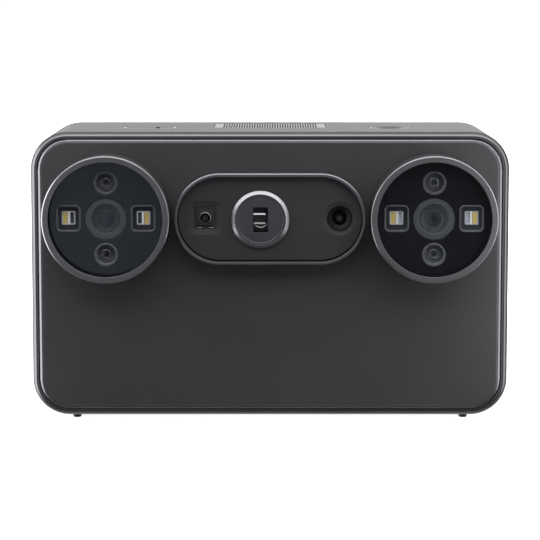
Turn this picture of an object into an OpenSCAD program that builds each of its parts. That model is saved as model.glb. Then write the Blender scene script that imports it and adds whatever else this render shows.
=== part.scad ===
// Handheld optical scanner: a rounded metal box with two round camera pods and a
// flat-oval projector pod on its front, two push buttons and a cooling vent on top.
// Frame: +X to the right seen from the front, +Y to the rear, +Z up.
// Origin: under the middle of the object, on the surface it stands on. Millimetres.

/* [Body] */
// Width of the body
body_w = 120; // [119.5:0.1:120.5]
// Height of the body without its feet
body_h = 71.7; // [71.5:0.1:72.5]
// Depth of the shell from its front rim to its rear face
body_d = 47.1; // [46.9:0.05:47.3]
// Corner radius of the body seen from the front
corner_r = 9.28; // [9:0.01:10]
// Wall thickness of the shell
wall = 2.8; // [2.6:0.1:3]
// Rounding of the shell's front edge, cut short by the groove
front_round = 2.4; // [2.2:0.05:2.5]
// Rounding of the shell's rear edge
rear_round = 2.0; // [1.5:0.1:2.5]
// Height of the rubber foot strips below the body
foot_h = 1.15; // [1:0.05:1.5]

/* [Front panel] */
// Width of the shell's rim around the front panel
rim_w = 1.05; // [1:0.05:1.2]
// Width of the dark groove between rim and panel
groove_w = 0.7; // [0.6:0.05:0.8]
// Thickness of the front panel
panel_t = 2.0; // [1.8:0.1:2.2]
// How far the panel stands proud of the shell's rim
panel_proud = 0.5; // [0.4:0.05:0.55]
// Width of the chamfer around the panel
panel_edge = 0.55; // [0.4:0.05:0.6]

/* [Camera pods] */
// Distance of each round pod from the middle
pod_x = 40.6; // [40.4:0.05:40.7]
// Height of the pods above the body's centre
pod_z = 14.85; // [14.6:0.05:15]
// Outer radius of the bezel rings
pod_r = 15.78; // [15.6:0.01:15.85]
// How far the bezel rings stand out of the panel
pod_out = 10; // [10:0.1:10.2]
// Radius of the clear window
window_r = 14.11; // [14:0.01:14.2]

/* [Projector pod] */
// Length of the flat-oval trim
trim_l = 47.8; // [47.6:0.05:47.85]
// Height of the flat-oval trim
trim_h = 23.0; // [22.9:0.05:23.1]
// How far the trim stands out of the panel
trim_out = 5; // [5:0.1:5.2]
// Sideways place of the projector
proj_x = -2.43; // [-2.6:0.01:-2.3]
// Radius of the projector's bright bezel
proj_r = 7.2; // [7.1:0.05:7.3]
// Sideways place of the colour camera
colour_x = -16.15; // [-16.3:0.05:-16]
// Sideways place of the depth camera
depth_x = 17.32; // [17.2:0.02:17.4]

/* [Top] */
// Distance of each button from the middle
button_x = 30.8; // [30.6:0.1:31]
// Length of the power button
power_l = 13.7; // [13.5:0.1:13.8]
// Width of the power button
power_w = 5.2; // [5:0.1:5.4]
// Radius of the scan button
scan_r = 5.25; // [5.1:0.05:5.3]
// How far the buttons stand above the top
button_up = 0.25; // [0.1:0.05:0.35]
// Length of the vent grille
vent_l = 28.8; // [28.6:0.1:29]
// Depth of the vent grille
vent_d = 20.8; // [20.6:0.1:21]
// Number of slots in the vent grille
vent_slots = 37; // [33:2:37]

/* [Underside] */
// Radius of the tripod thread's core
thread_r = 2.55; // [2.5:0.01:2.6]
// Depth of the tripod thread
thread_d = 7; // [6:0.1:7.2]

/* [Hidden] */
$fn = 96;
e = 0.01;
hw = body_w / 2;
hh = body_h / 2;
zb = foot_h;                    // underside of the body
zc = zb + hh;                   // centre of the front
zt = zb + body_h;               // top of the body
zi = zt - wall;                 // underside of the top wall
y_rear = 28.8;
y_rim = y_rear - body_d;        // front rim of the shell
y_face = y_rim - panel_proud;   // front face of the panel
y_pb = y_face + panel_t;        // back of the panel
rim_k = 1 - rim_w / front_round;
y_slab = y_rim - front_round * (1 - sqrt(1 - rim_k * rim_k)); // where the front rounding would run out
y_step = y_face + 0.95;         // floor of the groove
pw = hw - rim_w - groove_w;     // panel outline
ph = hh - rim_w - groove_w;
pr = corner_r - rim_w - groove_w;
y_ledge = y_pb + 0.6;           // the gasket lies between panel and ledge
y_pod = y_face - pod_out;       // front of the bezel rings
y_trim = y_face - trim_out;     // front of the flat-oval trim
pz = zc + pod_z;
tz = zc + 14.71;
prz = zc + 14.65;
coz = zc + 14.72;
dez = zc + 14.85;
y_b0 = -9;                      // optical bench
y_b1 = -6;
y_m0 = 16;                      // main board
y_m1 = 17.6;
// rear opening
rc_w = hw - 3.4;
rc_h = hh - 3.31;
rc_r = corner_r - 3.28;
y_rs = 26.1;                    // rear ledge
y_rc = 26.6;                    // inside of the rear cover
by = 1.0;                       // depth place of the buttons
vy = 11.7;                      // depth place of the vent
fy = 11.2;                      // fan axis
gz = zi - 1.2;                  // underside of the grille's flange
fz = gz - 7;                    // underside of the fan
bz = 63.0;                      // top of the button boards
ty = 5;                         // tripod thread axis
wx = 9.3;                       // white lights, from the pod axis
iz = 8.9;                       // infrared lights, from the pod axis
boss = [[50, -25], [17, -25], [20, 29.2]];
lug_z = [-14, 24];

// ---- shapes that repeat -------------------------------------------------

// extrude an outline in X and Z along Y
module yex(y0, y1) translate([0, y1, 0]) rotate([90, 0, 0]) linear_extrude(height = y1 - y0) children();
// round bar along Y
module ycyl(x, z, r, y0, y1) translate([x, y1, z]) rotate([90, 0, 0]) cylinder(h = y1 - y0, r = r);
// cone along Y, radius ra at y0 and rb at y1
module ycone(x, z, ra, rb, y0, y1) translate([x, y0, z]) rotate([-90, 0, 0]) cylinder(h = y1 - y0, r1 = ra, r2 = rb);
// turned shape about an axis along Y, from a profile in (radius, y)
module yrev(x, z) translate([x, 0, z]) rotate([-90, 0, 0]) rotate_extrude() children();
module zcyl(x, y, r, z0, z1) translate([x, y, z0]) cylinder(h = z1 - z0, r = r);
module box(x0, x1, y0, y1, z0, z1) translate([x0, y0, z0]) cube([x1 - x0, y1 - y0, z1 - z0]);

module rrect(w, h, r) {
  square([2 * w, 2 * (h - r)], center = true);
  square([2 * (w - r), 2 * h], center = true);
  for (i = [-1, 1], j = [-1, 1]) translate([i * (w - r), j * (h - r)]) circle(r = r);
}
// flat oval, long side along the first axis
module stad(l, h) {
  square([l - h, h], center = true);
  for (i = [-1, 1]) translate([i * (l - h) / 2, 0]) circle(d = h);
}
// edge profile of a slab: first axis outwards, second axis along Y; a negative f0 cuts a chamfer
module edge(r, y0, y1, f0, f1) difference() {
  translate([0, y0]) square([r, y1 - y0]);
  if (f0 > 0) difference() {
    translate([r - f0, y0 - 1]) square([f0 + 1, f0 + 1]);
    translate([r - f0, y0 + f0]) circle(r = f0);
  }
  if (f0 < 0) polygon([[r + f0 - 1, y0 - 1], [r + 1, y0 - f0 + 1], [r + 1, y0 - 1]]);
  if (f1 > 0) difference() {
    translate([r - f1, y1 - f1]) square([f1 + 1, f1 + 1]);
    translate([r - f1, y1 - f1]) circle(r = f1);
  }
}
// slab with rounded corners and rounded front and rear edges
module slab(w, h, r, y0, y1, f0, f1) {
  translate([-(w - r), y0, -(h - r)]) cube([2 * (w - r), y1 - y0, 2 * (h - r)]);
  for (s = [0, 180]) rotate([0, s, 0]) translate([w - r, 0, -(h - r)])
    linear_extrude(height = 2 * (h - r)) edge(r, y0, y1, f0, f1);
  for (s = [90, -90]) rotate([0, s, 0]) translate([h - r, 0, -(w - r)])
    linear_extrude(height = 2 * (w - r)) edge(r, y0, y1, f0, f1);
  for (q = [[1, -1, 0], [-1, -1, 90], [-1, 1, 180], [1, 1, 270]])
    translate([q[0] * (w - r), 0, q[1] * (h - r)]) rotate([0, q[2], 0])
      rotate([-90, 0, 0]) rotate_extrude(angle = 90) edge(r, y0, y1, f0, f1);
}
// pan-head screw along Z, head below z = 0, shank upwards
module screw(l) {
  translate([0, 0, -1.2]) difference() {
    cylinder(h = 1.2, r = 1.7);
    translate([0, 0, -e]) cylinder(h = 0.7, r = 0.8, $fn = 6);
  }
  cylinder(h = l, r = 0.9);
}
module screw_y(x, y, z, l, d) translate([x, y, z]) rotate([d * -90, 0, 0]) screw(l);

// ---- casing -------------------------------------------------------------

module main_shell() color([0.27, 0.27, 0.28]) difference() {
  translate([0, 0, zc]) slab(hw, hh, corner_r, y_slab, y_rear, front_round, rear_round);
  translate([0, 0, zc]) yex(y_slab - 1, y_step) rrect(hw - rim_w, hh - rim_w, corner_r - rim_w);
  translate([0, 0, zc]) yex(y_step - 1, y_ledge) rrect(pw + 0.1, ph + 0.1, pr + 0.1);
  translate([0, 0, zc]) yex(y_ledge - 1, 24.1) rrect(hw - wall, hh - wall, corner_r - wall);
  translate([0, 0, zc]) yex(24, y_rs + e) rrect(hw - 4, hh - 3.95, corner_r - 3.9);
  translate([0, 0, zc]) yex(y_rs, y_rear + 1) rrect(rc_w + 0.4, rc_h + 0.4, rc_r + 0.4);
  // top openings
  translate([0, vy, zi - 1]) linear_extrude(height = wall + 2) rrect(vent_l / 2 + 0.1, vent_d / 2 + 0.1, 1.1);
  translate([-button_x, by, zi - 1]) linear_extrude(height = wall + 2) stad(power_l + 0.3, power_w + 0.3);
  zcyl(button_x, by, scan_r + 0.15, zi - 1, zt + 1);
  for (s = [-1, 1]) zcyl(s * 19.2, fy, 0.95, zi - 1, zi + 1.8);
  // tripod bush
  zcyl(0, ty, 6.05, zb - 1, zb + 1);
  zcyl(0, ty, 4.85, zb, zb + wall + 1);
  // foot grooves
  for (s = [-1, 1]) translate([s * 49.15, 0.3, zb - 1]) linear_extrude(height = 1.4) rotate(90) stad(30, 2.15);
}

// brackets bonded to the inside of the shell: lugs for the optical bench, posts for the
// rear cover and the button boards, and a boss around the tripod bush
rib_l = hw - wall - 50;
module shell_brackets() color([0.5, 0.5, 0.52]) {
  for (s = [-1, 1], z = lug_z) difference() {
    translate([s * (hw - wall - 3.7) - 3.7, y_b1, zc + z - 3.2]) cube([7.4, 5, 6.4]);
    ycyl(s * 53, zc + z, 1.0, y_b1 - 1, 0);
  }
  for (s = [-1, 1], z = [-26, 26]) difference() {
    union() {
      ycyl(s * 50, zc + z, 3.2, 8, y_rc);
      intersection() {
        translate([s * (50 + rib_l / 2) - rib_l / 2, 8, zc + z - 1]) cube([rib_l, 16, 2]);
        translate([0, 0, zc]) yex(7, 25) rrect(hw - wall, hh - wall, corner_r - wall);
      }
    }
    ycyl(s * 50, zc + z, 1.05, 16, y_rc + 1);
  }
  for (s = [-1, 1], k = [-1, 1]) difference() {
    zcyl(s * button_x + k * 9.6, by, 1.7, bz, zi);
    zcyl(s * button_x + k * 9.6, by, 0.95, bz - 1, 67.5);
  }
  difference() {
    zcyl(0, ty, 8, zb + wall, 10.2);
    zcyl(0, ty, 4.85, zb, 11);
  }
}

module front_panel() color([0.25, 0.25, 0.26]) difference() {
  union() {
    translate([0, 0, zc]) slab(pw, ph, pr, y_face, y_pb, -panel_edge, 0);
    for (s = [-1, 1], b = boss) ycyl(s * b[0], zc + b[1], 2.6, y_pb - e, y_b0);
  }
  for (s = [-1, 1]) ycyl(s * pod_x, pz, pod_r + 0.05, y_face - 1, y_pb + 1);
  translate([0, 0, tz]) yex(y_face - 1, y_pb + 1) stad(trim_l + 0.1, trim_h + 0.1);
  for (s = [-1, 1], b = boss) ycyl(s * b[0], zc + b[1], 0.95, -14, y_b0 + 1);
}

module front_gasket() color([0.04, 0.04, 0.04]) translate([0, 0, zc]) yex(y_pb, y_ledge) difference() {
  rrect(pw, ph, pr);
  rrect(hw - wall, hh - wall, corner_r - wall);
}

module rear_cover() color([0.25, 0.25, 0.26]) difference() {
  translate([0, 0, zc]) slab(rc_w, rc_h, rc_r, y_rc, y_rear, 0, 0.6);
  for (s = [-1, 1], z = [-26, 26]) {
    ycyl(s * 50, zc + z, 1.2, y_rc - 1, y_rear + 1);
    ycone(s * 50, zc + z, 1.2, 2.5, 27.05, 28.35);
    ycyl(s * 50, zc + z, 2.5, 28.35 - e, y_rear + 1);
  }
  translate([0, 0, 13]) yex(y_rc - 1, y_rear + 1) stad(9.4, 3.7);
  // air inlet slots
  for (i = [-5:5]) translate([i * 3, 0, 47]) yex(y_rc - 1, y_rear + 1) rotate(90) stad(13, 1.3);
}

module rear_seal() color([0.04, 0.04, 0.04]) translate([0, 0, zc]) yex(y_rs, y_rc) difference() {
  rrect(rc_w + 0.2, rc_h + 0.2, rc_r + 0.2);
  rrect(hw - 3.95, hh - 3.9, corner_r - 3.85);
}

// ---- round camera pods --------------------------------------------------

module bezel_ring(s) color([0.33, 0.33, 0.35]) yrev(s * pod_x, pz) polygon([
  [pod_r, y_pb], [pod_r, y_pod + 0.4], [pod_r - 0.4, y_pod], [window_r + 0.15, y_pod],
  [window_r, y_pod + 0.15], [window_r, y_pod + 0.6], [14.75, y_pod + 0.6],
  [14.75, y_pb + 1.4], [16.3, y_pb + 1.4], [16.3, y_pb]]);
module left_bezel_ring() bezel_ring(-1);
module right_bezel_ring() bezel_ring(1);

module cover_glass(s) color([0.2, 0.22, 0.25, 0.35]) ycyl(s * pod_x, pz, 14.7, y_pod + 0.6, y_pod + 2.1);
module left_cover_glass() cover_glass(-1);
module right_cover_glass() cover_glass(1);

ym = y_pod + 3.0;               // front of the mask plate
yl = ym + 1.9;                  // front of the light board
module mask_plate(s) color([0.05, 0.05, 0.055]) difference() {
  yrev(s * pod_x, pz) polygon([[5.3, yl], [14.65, yl], [14.65, y_pod + 2.1], [14.15, y_pod + 2.1], [14.15, ym], [5.3, ym]]);
  for (k = [-1, 1]) {
    translate([s * pod_x + k * wx, 0, pz]) yex(ym - 1, yl + 1) rrect(2.3, 2.6, 0.7);
    ycyl(s * pod_x, pz + k * iz, 2.2, ym - 1, yl + 1);
    ycone(s * pod_x, pz + k * iz, 2.95, 2.2, ym - e, ym + 0.5);
  }
}
module left_mask_plate() mask_plate(-1);
module right_mask_plate() mask_plate(1);

module light_board(s) color([0.04, 0.12, 0.07]) difference() {
  ycyl(s * pod_x, pz, 14.6, yl, yl + 1);
  ycyl(s * pod_x, pz, 5.6, yl - 1, yl + 2);
}
module left_light_board() light_board(-1);
module right_light_board() light_board(1);

module clamp_sleeves() color([0.1, 0.1, 0.1]) for (s = [-1, 1]) difference() {
  ycyl(s * pod_x, pz, 14.65, yl + 1, y_b0);
  ycyl(s * pod_x, pz, 13.0, yl, y_b0 + 1);
}

module lens_barrel(s) color([0.24, 0.24, 0.26]) yrev(s * pod_x, pz) polygon([
  [2.6, -12], [4.0, -12], [4.0, -18.6], [5.2, -18.6], [5.2, ym + 0.2], [3.8, ym + 0.2],
  [3.6, ym + 0.4], [3.6, ym + 2.8], [2.6, ym + 2.8]]);
module left_lens_barrel() lens_barrel(-1);
module right_lens_barrel() lens_barrel(1);

module lens_glass(s) color([0.1, 0.1, 0.14, 0.5]) intersection() {
  ycyl(s * pod_x, pz, 3.55, ym, ym + 2.8);
  translate([s * pod_x, ym + 7.0, pz]) sphere(r = 6);
}
module left_lens_glass() lens_glass(-1);
module right_lens_glass() lens_glass(1);

module lens_holder(s) color([0.08, 0.08, 0.08]) difference() {
  union() {
    box(s * pod_x - 6.5, s * pod_x + 6.5, -16, y_b0, pz - 6.5, pz + 6.5);
    translate([s * pod_x, 0, pz]) yex(-11, y_b0) rrect(11.4, 4, 2);
  }
  ycyl(s * pod_x, pz, 4.05, -17, -11);
  box(s * pod_x - 4, s * pod_x + 4, -11 - e, y_b0 + 1, pz - 4, pz + 4);
  for (k = [-1, 1]) ycyl(s * pod_x + k * 9.3, pz, 0.95, -12, y_b0 + 1);
}
module left_lens_holder() lens_holder(-1);
module right_lens_holder() lens_holder(1);

module camera_board(s) color([0.04, 0.16, 0.09]) box(s * pod_x - 7.4, s * pod_x + 7.4, y_b0, y_b0 + 1.2, pz - 7.4, pz + 7.4);
module left_camera_board() camera_board(-1);
module right_camera_board() camera_board(1);

module image_sensors() color([0.12, 0.12, 0.15]) for (s = [-1, 1])
  box(s * pod_x - 3, s * pod_x + 3, y_b0 - 1, y_b0, pz - 3, pz + 3);

// pale package frame with two wells
module white_led_frames() color([0.85, 0.85, 0.83]) for (s = [-1, 1], k = [-1, 1])
  translate([s * pod_x + k * wx, 0, pz]) difference() {
    box(-1.78, 1.78, yl - 0.7, yl, -1.78, 1.78);
    box(k * 0.76 - 0.61, k * 0.76 + 0.61, yl - 1, yl - 0.25, -1.47, 1.47);
    box(-k * 0.9 - 0.42, -k * 0.9 + 0.42, yl - 1, yl - 0.25, -1.38, 1.38);
  }
// yellow fill in the outer well of each package
module white_led_phosphors() color([0.85, 0.65, 0.15]) for (s = [-1, 1], k = [-1, 1])
  translate([s * pod_x + k * wx, 0, pz]) box(k * 0.76 - 0.58, k * 0.76 + 0.58, yl - 0.6, yl - 0.25, -1.44, 1.44);

module infrared_leds() color([0.15, 0.15, 0.17]) for (s = [-1, 1], k = [-1, 1]) {
  ycyl(s * pod_x, pz + k * iz, 2.1, yl - 0.5, yl);
  intersection() {
    ycyl(s * pod_x, pz + k * iz, 1.7, yl - 2, yl - 0.5 + e);
    translate([s * pod_x, yl + 0.6, pz + k * iz]) sphere(r = 2.1);
  }
}

// ---- projector pod ------------------------------------------------------

yp = y_trim + 1.5;              // front of the centre plate
ypb = yp + 2.0;                 // back of the centre plate
module centre_trim() color([0.33, 0.33, 0.35]) difference() {
  union() {
    translate([0, 0, tz]) yex(y_trim, y_pb + 1.4) stad(trim_l, trim_h);
    translate([0, 0, tz]) yex(y_pb, y_pb + 1.4) rrect(12, trim_h / 2 + 1.3, 2);
  }
  translate([0, 0, tz]) yex(y_trim - 1, ypb) stad(trim_l - 1.9, trim_h - 1.9);
  translate([0, 0, tz]) yex(ypb - 1, y_pb + 3) stad(trim_l - 3.6, trim_h - 3.6);
}

module centre_plate() color([0.21, 0.21, 0.22]) difference() {
  translate([0, 0, tz]) yex(yp, ypb) stad(trim_l - 2, trim_h - 2);
  ycyl(proj_x, prz, 6.65, yp - 1, ypb + 1);
  // bevelled square recess of the colour camera
  hull() {
    translate([colour_x, 0, coz]) yex(yp - 0.2, yp + e) rrect(4.3, 4.4, 1.7, $fn = 32);
    translate([colour_x, 0, coz]) yex(yp + 0.4, yp + 0.45) rrect(2.9, 3.05, 0.7, $fn = 32);
  }
  translate([colour_x, 0, coz]) yex(yp - 1, ypb + 1) rrect(2.8, 2.95, 0.5);
  // countersink of the depth camera
  ycone(depth_x, dez, 4.35, 3.15, yp - e, yp + 0.5);
  ycyl(depth_x, dez, 3.15, yp - 1, ypb + 1);
}

module projector_bezel() color([0.75, 0.75, 0.77]) yrev(proj_x, prz) polygon([
  [6.15, ypb], [6.6, ypb], [6.6, yp], [proj_r, yp], [proj_r, yp - 0.6], [6.25, yp - 1.15], [6.15, yp - 1.15]]);

module projector_face() color([0.23, 0.23, 0.25]) difference() {
  union() {
    ycyl(proj_x, prz, 6.1, yp - 0.95, yp + 0.8);
    ycyl(proj_x, prz, 5.5, yp - 1.1, yp);
  }
  translate([proj_x, 0, prz]) yex(yp - 2, yp + 2) square([3.6, 6.1], center = true);
}

module projector_lens() color([0.1, 0.1, 0.12, 0.5]) intersection() {
  ycyl(proj_x, prz, 5.6, yp + 0.85, ypb + 1.4);
  translate([proj_x, yp + 15.85, prz]) sphere(r = 15);
}

module projector_body() color([0.1, 0.1, 0.1]) difference() {
  union() {
    box(proj_x - 7.5, proj_x + 7.5, ypb, -3, prz - 7.5, prz + 7.5);
    box(proj_x - 10.6, proj_x + 10.6, y_b0 - 1.5, y_b0, prz - 4.6, prz + 4.6);
  }
  ycyl(proj_x, prz, 5.65, ypb - 1, ypb + 1.4);
  ycyl(proj_x, prz, 4.6, ypb, ypb + 9);
  for (k = [-1, 1]) ycyl(proj_x + k * 9.2, prz, 0.95, y_b0 - 3, y_b0 + 1);
}

module colour_camera() color([0.1, 0.1, 0.11]) difference() {
  union() {
    box(colour_x - 2.6, colour_x + 2.6, yp + 0.45, ypb, coz - 2.75, coz + 2.75);
    box(colour_x - 3.75, colour_x + 3.75, ypb, -15, coz - 3.75, coz + 3.75);
    ycyl(colour_x, coz, 1.8, yp + 0.15, yp + 0.65);
  }
  ycone(colour_x, coz, 1.55, 1.3, yp + 0.15 - e, yp + 0.65);
  ycyl(colour_x, coz, 1.3, yp, yp + 2.4);
}
module colour_camera_lens() color([0.08, 0.08, 0.1, 0.6]) intersection() {
  ycyl(colour_x, coz, 1.25, yp + 0.4, yp + 2.4);
  translate([colour_x, yp + 2.75, coz]) sphere(r = 2);
}

module depth_camera() color([0.08, 0.08, 0.08]) yrev(depth_x, dez) polygon([
  [1.75, -15], [4.2, -15], [4.2, ypb], [3.1, ypb], [3.1, yp + 0.6], [2.5, yp + 0.6], [1.75, yp + 1.5]]);
module depth_camera_lens() color([0.06, 0.06, 0.08, 0.6]) intersection() {
  ycyl(depth_x, dez, 1.7, yp + 1.3, yp + 3.5);
  translate([depth_x, yp + 4.1, dez]) sphere(r = 2.5);
}

cb = [[-13.2, 7.4], [-13.2, -7.4], [9.0, 7.4], [9.0, -7.4]];
module centre_board() color([0.04, 0.16, 0.09]) difference() {
  box(-23, 23, -15, -13.8, prz - 9.4, prz + 9.4);
  box(proj_x - 7.8, proj_x + 7.8, -16, -13, prz - 7.8, prz + 7.8);
  for (p = cb) ycyl(p[0], prz + p[1], 0.95, -16, -13);
}

// ---- inside -------------------------------------------------------------

so = [[-25, 56], [25, 56], [-42, 12], [42, 12]];
module optical_bench() color([0.7, 0.71, 0.72]) difference() {
  union() {
    translate([0, 0, zc]) yex(y_b0, y_b1) rrect(hw - wall - 1, hh - wall - 3, 5);
    for (p = cb) ycyl(p[0], prz + p[1], 1.8, -13.8, y_b0 + e);
  }
  for (s = [-1, 1]) {
    box(s * pod_x - 7.7, s * pod_x + 7.7, y_b0 - 1, y_b1 + 1, pz - 7.7, pz + 7.7);
    for (k = [-1, 1]) ycyl(s * pod_x + k * 9.3, pz, 0.95, y_b0 - 1, y_b1 + 1);
    for (b = boss) ycyl(s * b[0], zc + b[1], 1.1, y_b0 - 1, y_b1 + 1);
    for (z = lug_z) ycyl(s * 53, zc + z, 0.95, y_b0 - 1, y_b1 + 1);
  }
  box(proj_x - 7.7, proj_x + 7.7, y_b0 - 1, y_b1 + 1, prz - 7.7, prz + 7.7);
  for (k = [-1, 1]) ycyl(proj_x + k * 9.2, prz, 0.95, y_b0 - 1, y_b1 + 1);
  for (p = cb) ycyl(p[0], prz + p[1], 0.95, -14.5, y_b0 + 1);
  for (p = so) ycyl(p[0], p[1], 1.05, y_b0 - 1, y_b1 + 1);
  // ribbon slot
  box(18, 23.2, y_b0 - 1, y_b1 + 1, prz - 7.8, prz - 6.3);
}

module main_board() color([0.04, 0.2, 0.1]) difference() {
  translate([0, 0, 34]) yex(y_m0, y_m1) rrect(46, 26, 2);
  for (p = so) ycyl(p[0], p[1], 1.1, y_m0 - 1, y_m1 + 1);
}
module board_chips() color([0.07, 0.07, 0.07]) {
  box(-7, 7, 14.6, y_m0, 33, 47);
  for (s = [-1, 1]) box(s * 28 - 4.5, s * 28 + 4.5, 14.9, y_m0, 34, 46);
  for (i = [-1:1]) box(i * 9 - 3, i * 9 + 3, 13.2, y_m0, 15, 21);
}
module board_standoffs() color([0.75, 0.62, 0.3]) for (p = so) difference() {
  union() {
    translate([p[0], y_m0, p[1]]) rotate([90, 0, 0]) cylinder(h = y_m0 - y_b1, r = 2.6, $fn = 6);
    ycyl(p[0], p[1], 1.0, y_b0 + 0.2, y_b1 + e);
  }
  ycyl(p[0], p[1], 0.95, 10, y_m0 + 1);
}
module heat_sink() color([0.72, 0.73, 0.74]) {
  box(-18, 18, 12.6, 14.6, 28, 52);
  for (i = [0:9]) box(-18 + i * 35 / 9, -17 + i * 35 / 9, 3, 12.6 + e, 28, 52);
}
module ribbon_cables() color([0.75, 0.72, 0.66]) {
  for (s = [-1, 1]) box(s * pod_x - 4, s * pod_x + 4, y_b0 + 1.2, y_m0, pz - 6.3, pz - 6.0);
  box(18.6, 22.6, -13.8, y_m0, prz - 7.2, prz - 6.9);
}

module fan_frame() color([0.09, 0.09, 0.09]) translate([0, fy, fz]) difference() {
  union() {
    difference() {
      linear_extrude(height = 7) rrect(12.5, 12.5, 1.5);
      translate([0, 0, -1]) cylinder(h = 9, r = 11.7);
    }
    cylinder(h = 0.8, r = 5.2);
    for (a = [30, 150, 270]) rotate(a) translate([4.5, -0.8, 0]) cube([7.6, 1.6, 0.8]);
    cylinder(h = 4.7, r = 1.55);
  }
  translate([0, 0, 0.5]) cylinder(h = 5, r = 0.8);
  for (i = [-1, 1], j = [-1, 1]) translate([i * 9.8, j * 10, -1]) cylinder(h = 9, r = 1.0);
}
module fan_stator() color([0.6, 0.35, 0.18]) translate([0, fy, fz + 0.8]) difference() {
  cylinder(h = 3.8, r = 3.9);
  translate([0, 0, -1]) cylinder(h = 6, r = 1.65);
  for (i = [0:5]) rotate(i * 60) translate([2.4, -0.5, -1]) cube([3, 1, 6]);
}
module fan_rotor() color([0.12, 0.12, 0.12]) translate([0, fy, fz]) {
  difference() {
    translate([0, 0, 1.1]) cylinder(h = 5.4, r = 5.0);
    translate([0, 0, 1]) cylinder(h = 4.7, r = 4.4);
    translate([0, 0, 5]) cylinder(h = 3, r = 0.75);
  }
  intersection() {
    difference() {
      cylinder(h = 8, r = 11.2);
      translate([0, 0, -1]) cylinder(h = 10, r = 4.9);
    }
    for (i = [0:6]) rotate(i * 360 / 7) translate([8.2, 0, 3.75]) rotate([38, 0, 0]) cube([7.4, 6.2, 0.6], center = true);
  }
}
module fan_axle() color([0.8, 0.8, 0.82]) zcyl(0, fy, 0.75, fz + 0.8, fz + 6.5);

module vent_grille() color([0.78, 0.78, 0.79]) difference() {
  union() {
    translate([0, vy, gz]) linear_extrude(height = zt - 0.12 - gz) rrect(vent_l / 2, vent_d / 2, 1);
    box(-16.4, 16.4, 0.2, 23.8, gz, zi);
    box(-21.4, 21.4, fy - 3, fy + 3, gz, zi);
  }
  for (i = [0:vent_slots - 1]) translate([(i - (vent_slots - 1) / 2) * 0.665 - 0.17, vy - 8.4, gz - 1]) cube([0.34, 16.8, 8]);
  for (i = [-1, 1], j = [-1, 1]) zcyl(i * 9.8, fy + j * 10, 0.95, gz - 1, gz + 0.95);
  for (s = [-1, 1]) zcyl(s * 19.2, fy, 0.95, gz - 1, zi + 1);
}

// ---- buttons ------------------------------------------------------------

zs = 67.9;                      // foot of the button stems
module power_button() color([0.3, 0.3, 0.31]) difference() {
  union() {
    translate([-button_x, by, zi - 0.1]) linear_extrude(height = wall + 0.1 + button_up) stad(power_l, power_w);
    translate([-button_x, by, zi - 0.9]) linear_extrude(height = 0.8 + e) stad(power_l + 1.6, power_w + 1.6);
    zcyl(-button_x, by, 1.3, zs, zi);
  }
  zcyl(-28.8, by, 0.5, zs, zt + 1);
}
module power_light_pipe() color([0.06, 0.06, 0.06]) zcyl(-28.8, by, 0.45, zi - 0.9, zt + button_up - 0.1);
module power_plunger() color([0.1, 0.1, 0.1]) zcyl(-button_x, by, 1.7, 66, zs);

module scan_button() color([0.3, 0.3, 0.31]) translate([button_x, by, 0]) difference() {
  union() {
    rotate_extrude() difference() {
      translate([0, zs]) square([scan_r, zt + button_up - zs]);
      translate([1.3, zs - 1]) square([10, zi - 0.9 - zs + 1]);
      difference() {
        translate([scan_r - 0.3, zt + button_up - 0.3]) square(1);
        translate([scan_r - 0.3, zt + button_up - 0.3]) circle(r = 0.3);
      }
    }
    translate([0, 0, zi - 0.9]) cylinder(h = 0.8, r = scan_r + 0.8);
  }
  translate([0, 0, zt + button_up + 8.0]) sphere(r = 8.9);
}
module scan_plunger() color([0.1, 0.1, 0.1]) zcyl(button_x, by, 1.7, 66, zs);

module button_boards() color([0.04, 0.16, 0.09]) for (s = [-1, 1]) difference() {
  box(s * button_x - 12.4, s * button_x + 12.4, -4.5, 6.5, bz - 1.2, bz);
  for (k = [-1, 1]) zcyl(s * button_x + k * 9.6, by, 0.95, bz - 2, bz + 1);
}
module button_switches() color([0.5, 0.5, 0.52]) for (s = [-1, 1]) difference() {
  box(s * button_x - 3, s * button_x + 3, by - 3, by + 3, bz, 66.5);
  zcyl(s * button_x, by, 1.8, 65, 67);
}

// ---- rear socket, tripod thread, feet, screws ----------------------------

module usb_socket() color([0.7, 0.7, 0.72]) translate([0, 0, 13]) {
  difference() {
    yex(y_m1, 28.5) stad(8.94, 3.2);
    yex(20, 29) stad(8.34, 2.6);
  }
  box(-3.35, 3.35, 20 - e, 27.4, -0.35, 0.35);
}

module tripod_bush() color([0.72, 0.6, 0.3]) difference() {
  union() {
    zcyl(0, ty, 6.0, zb, zb + 1);
    zcyl(0, ty, 4.8, zb + 1 - e, zb + 8.4);
  }
  zcyl(0, ty, thread_r, zb - 1, zb + thread_d);
}

module foot_strips() color([0.05, 0.05, 0.05]) for (s = [-1, 1])
  translate([s * 49.15, 0.3, 0]) linear_extrude(height = zb + 0.4) rotate(90) stad(29.8, 2.05);

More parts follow.
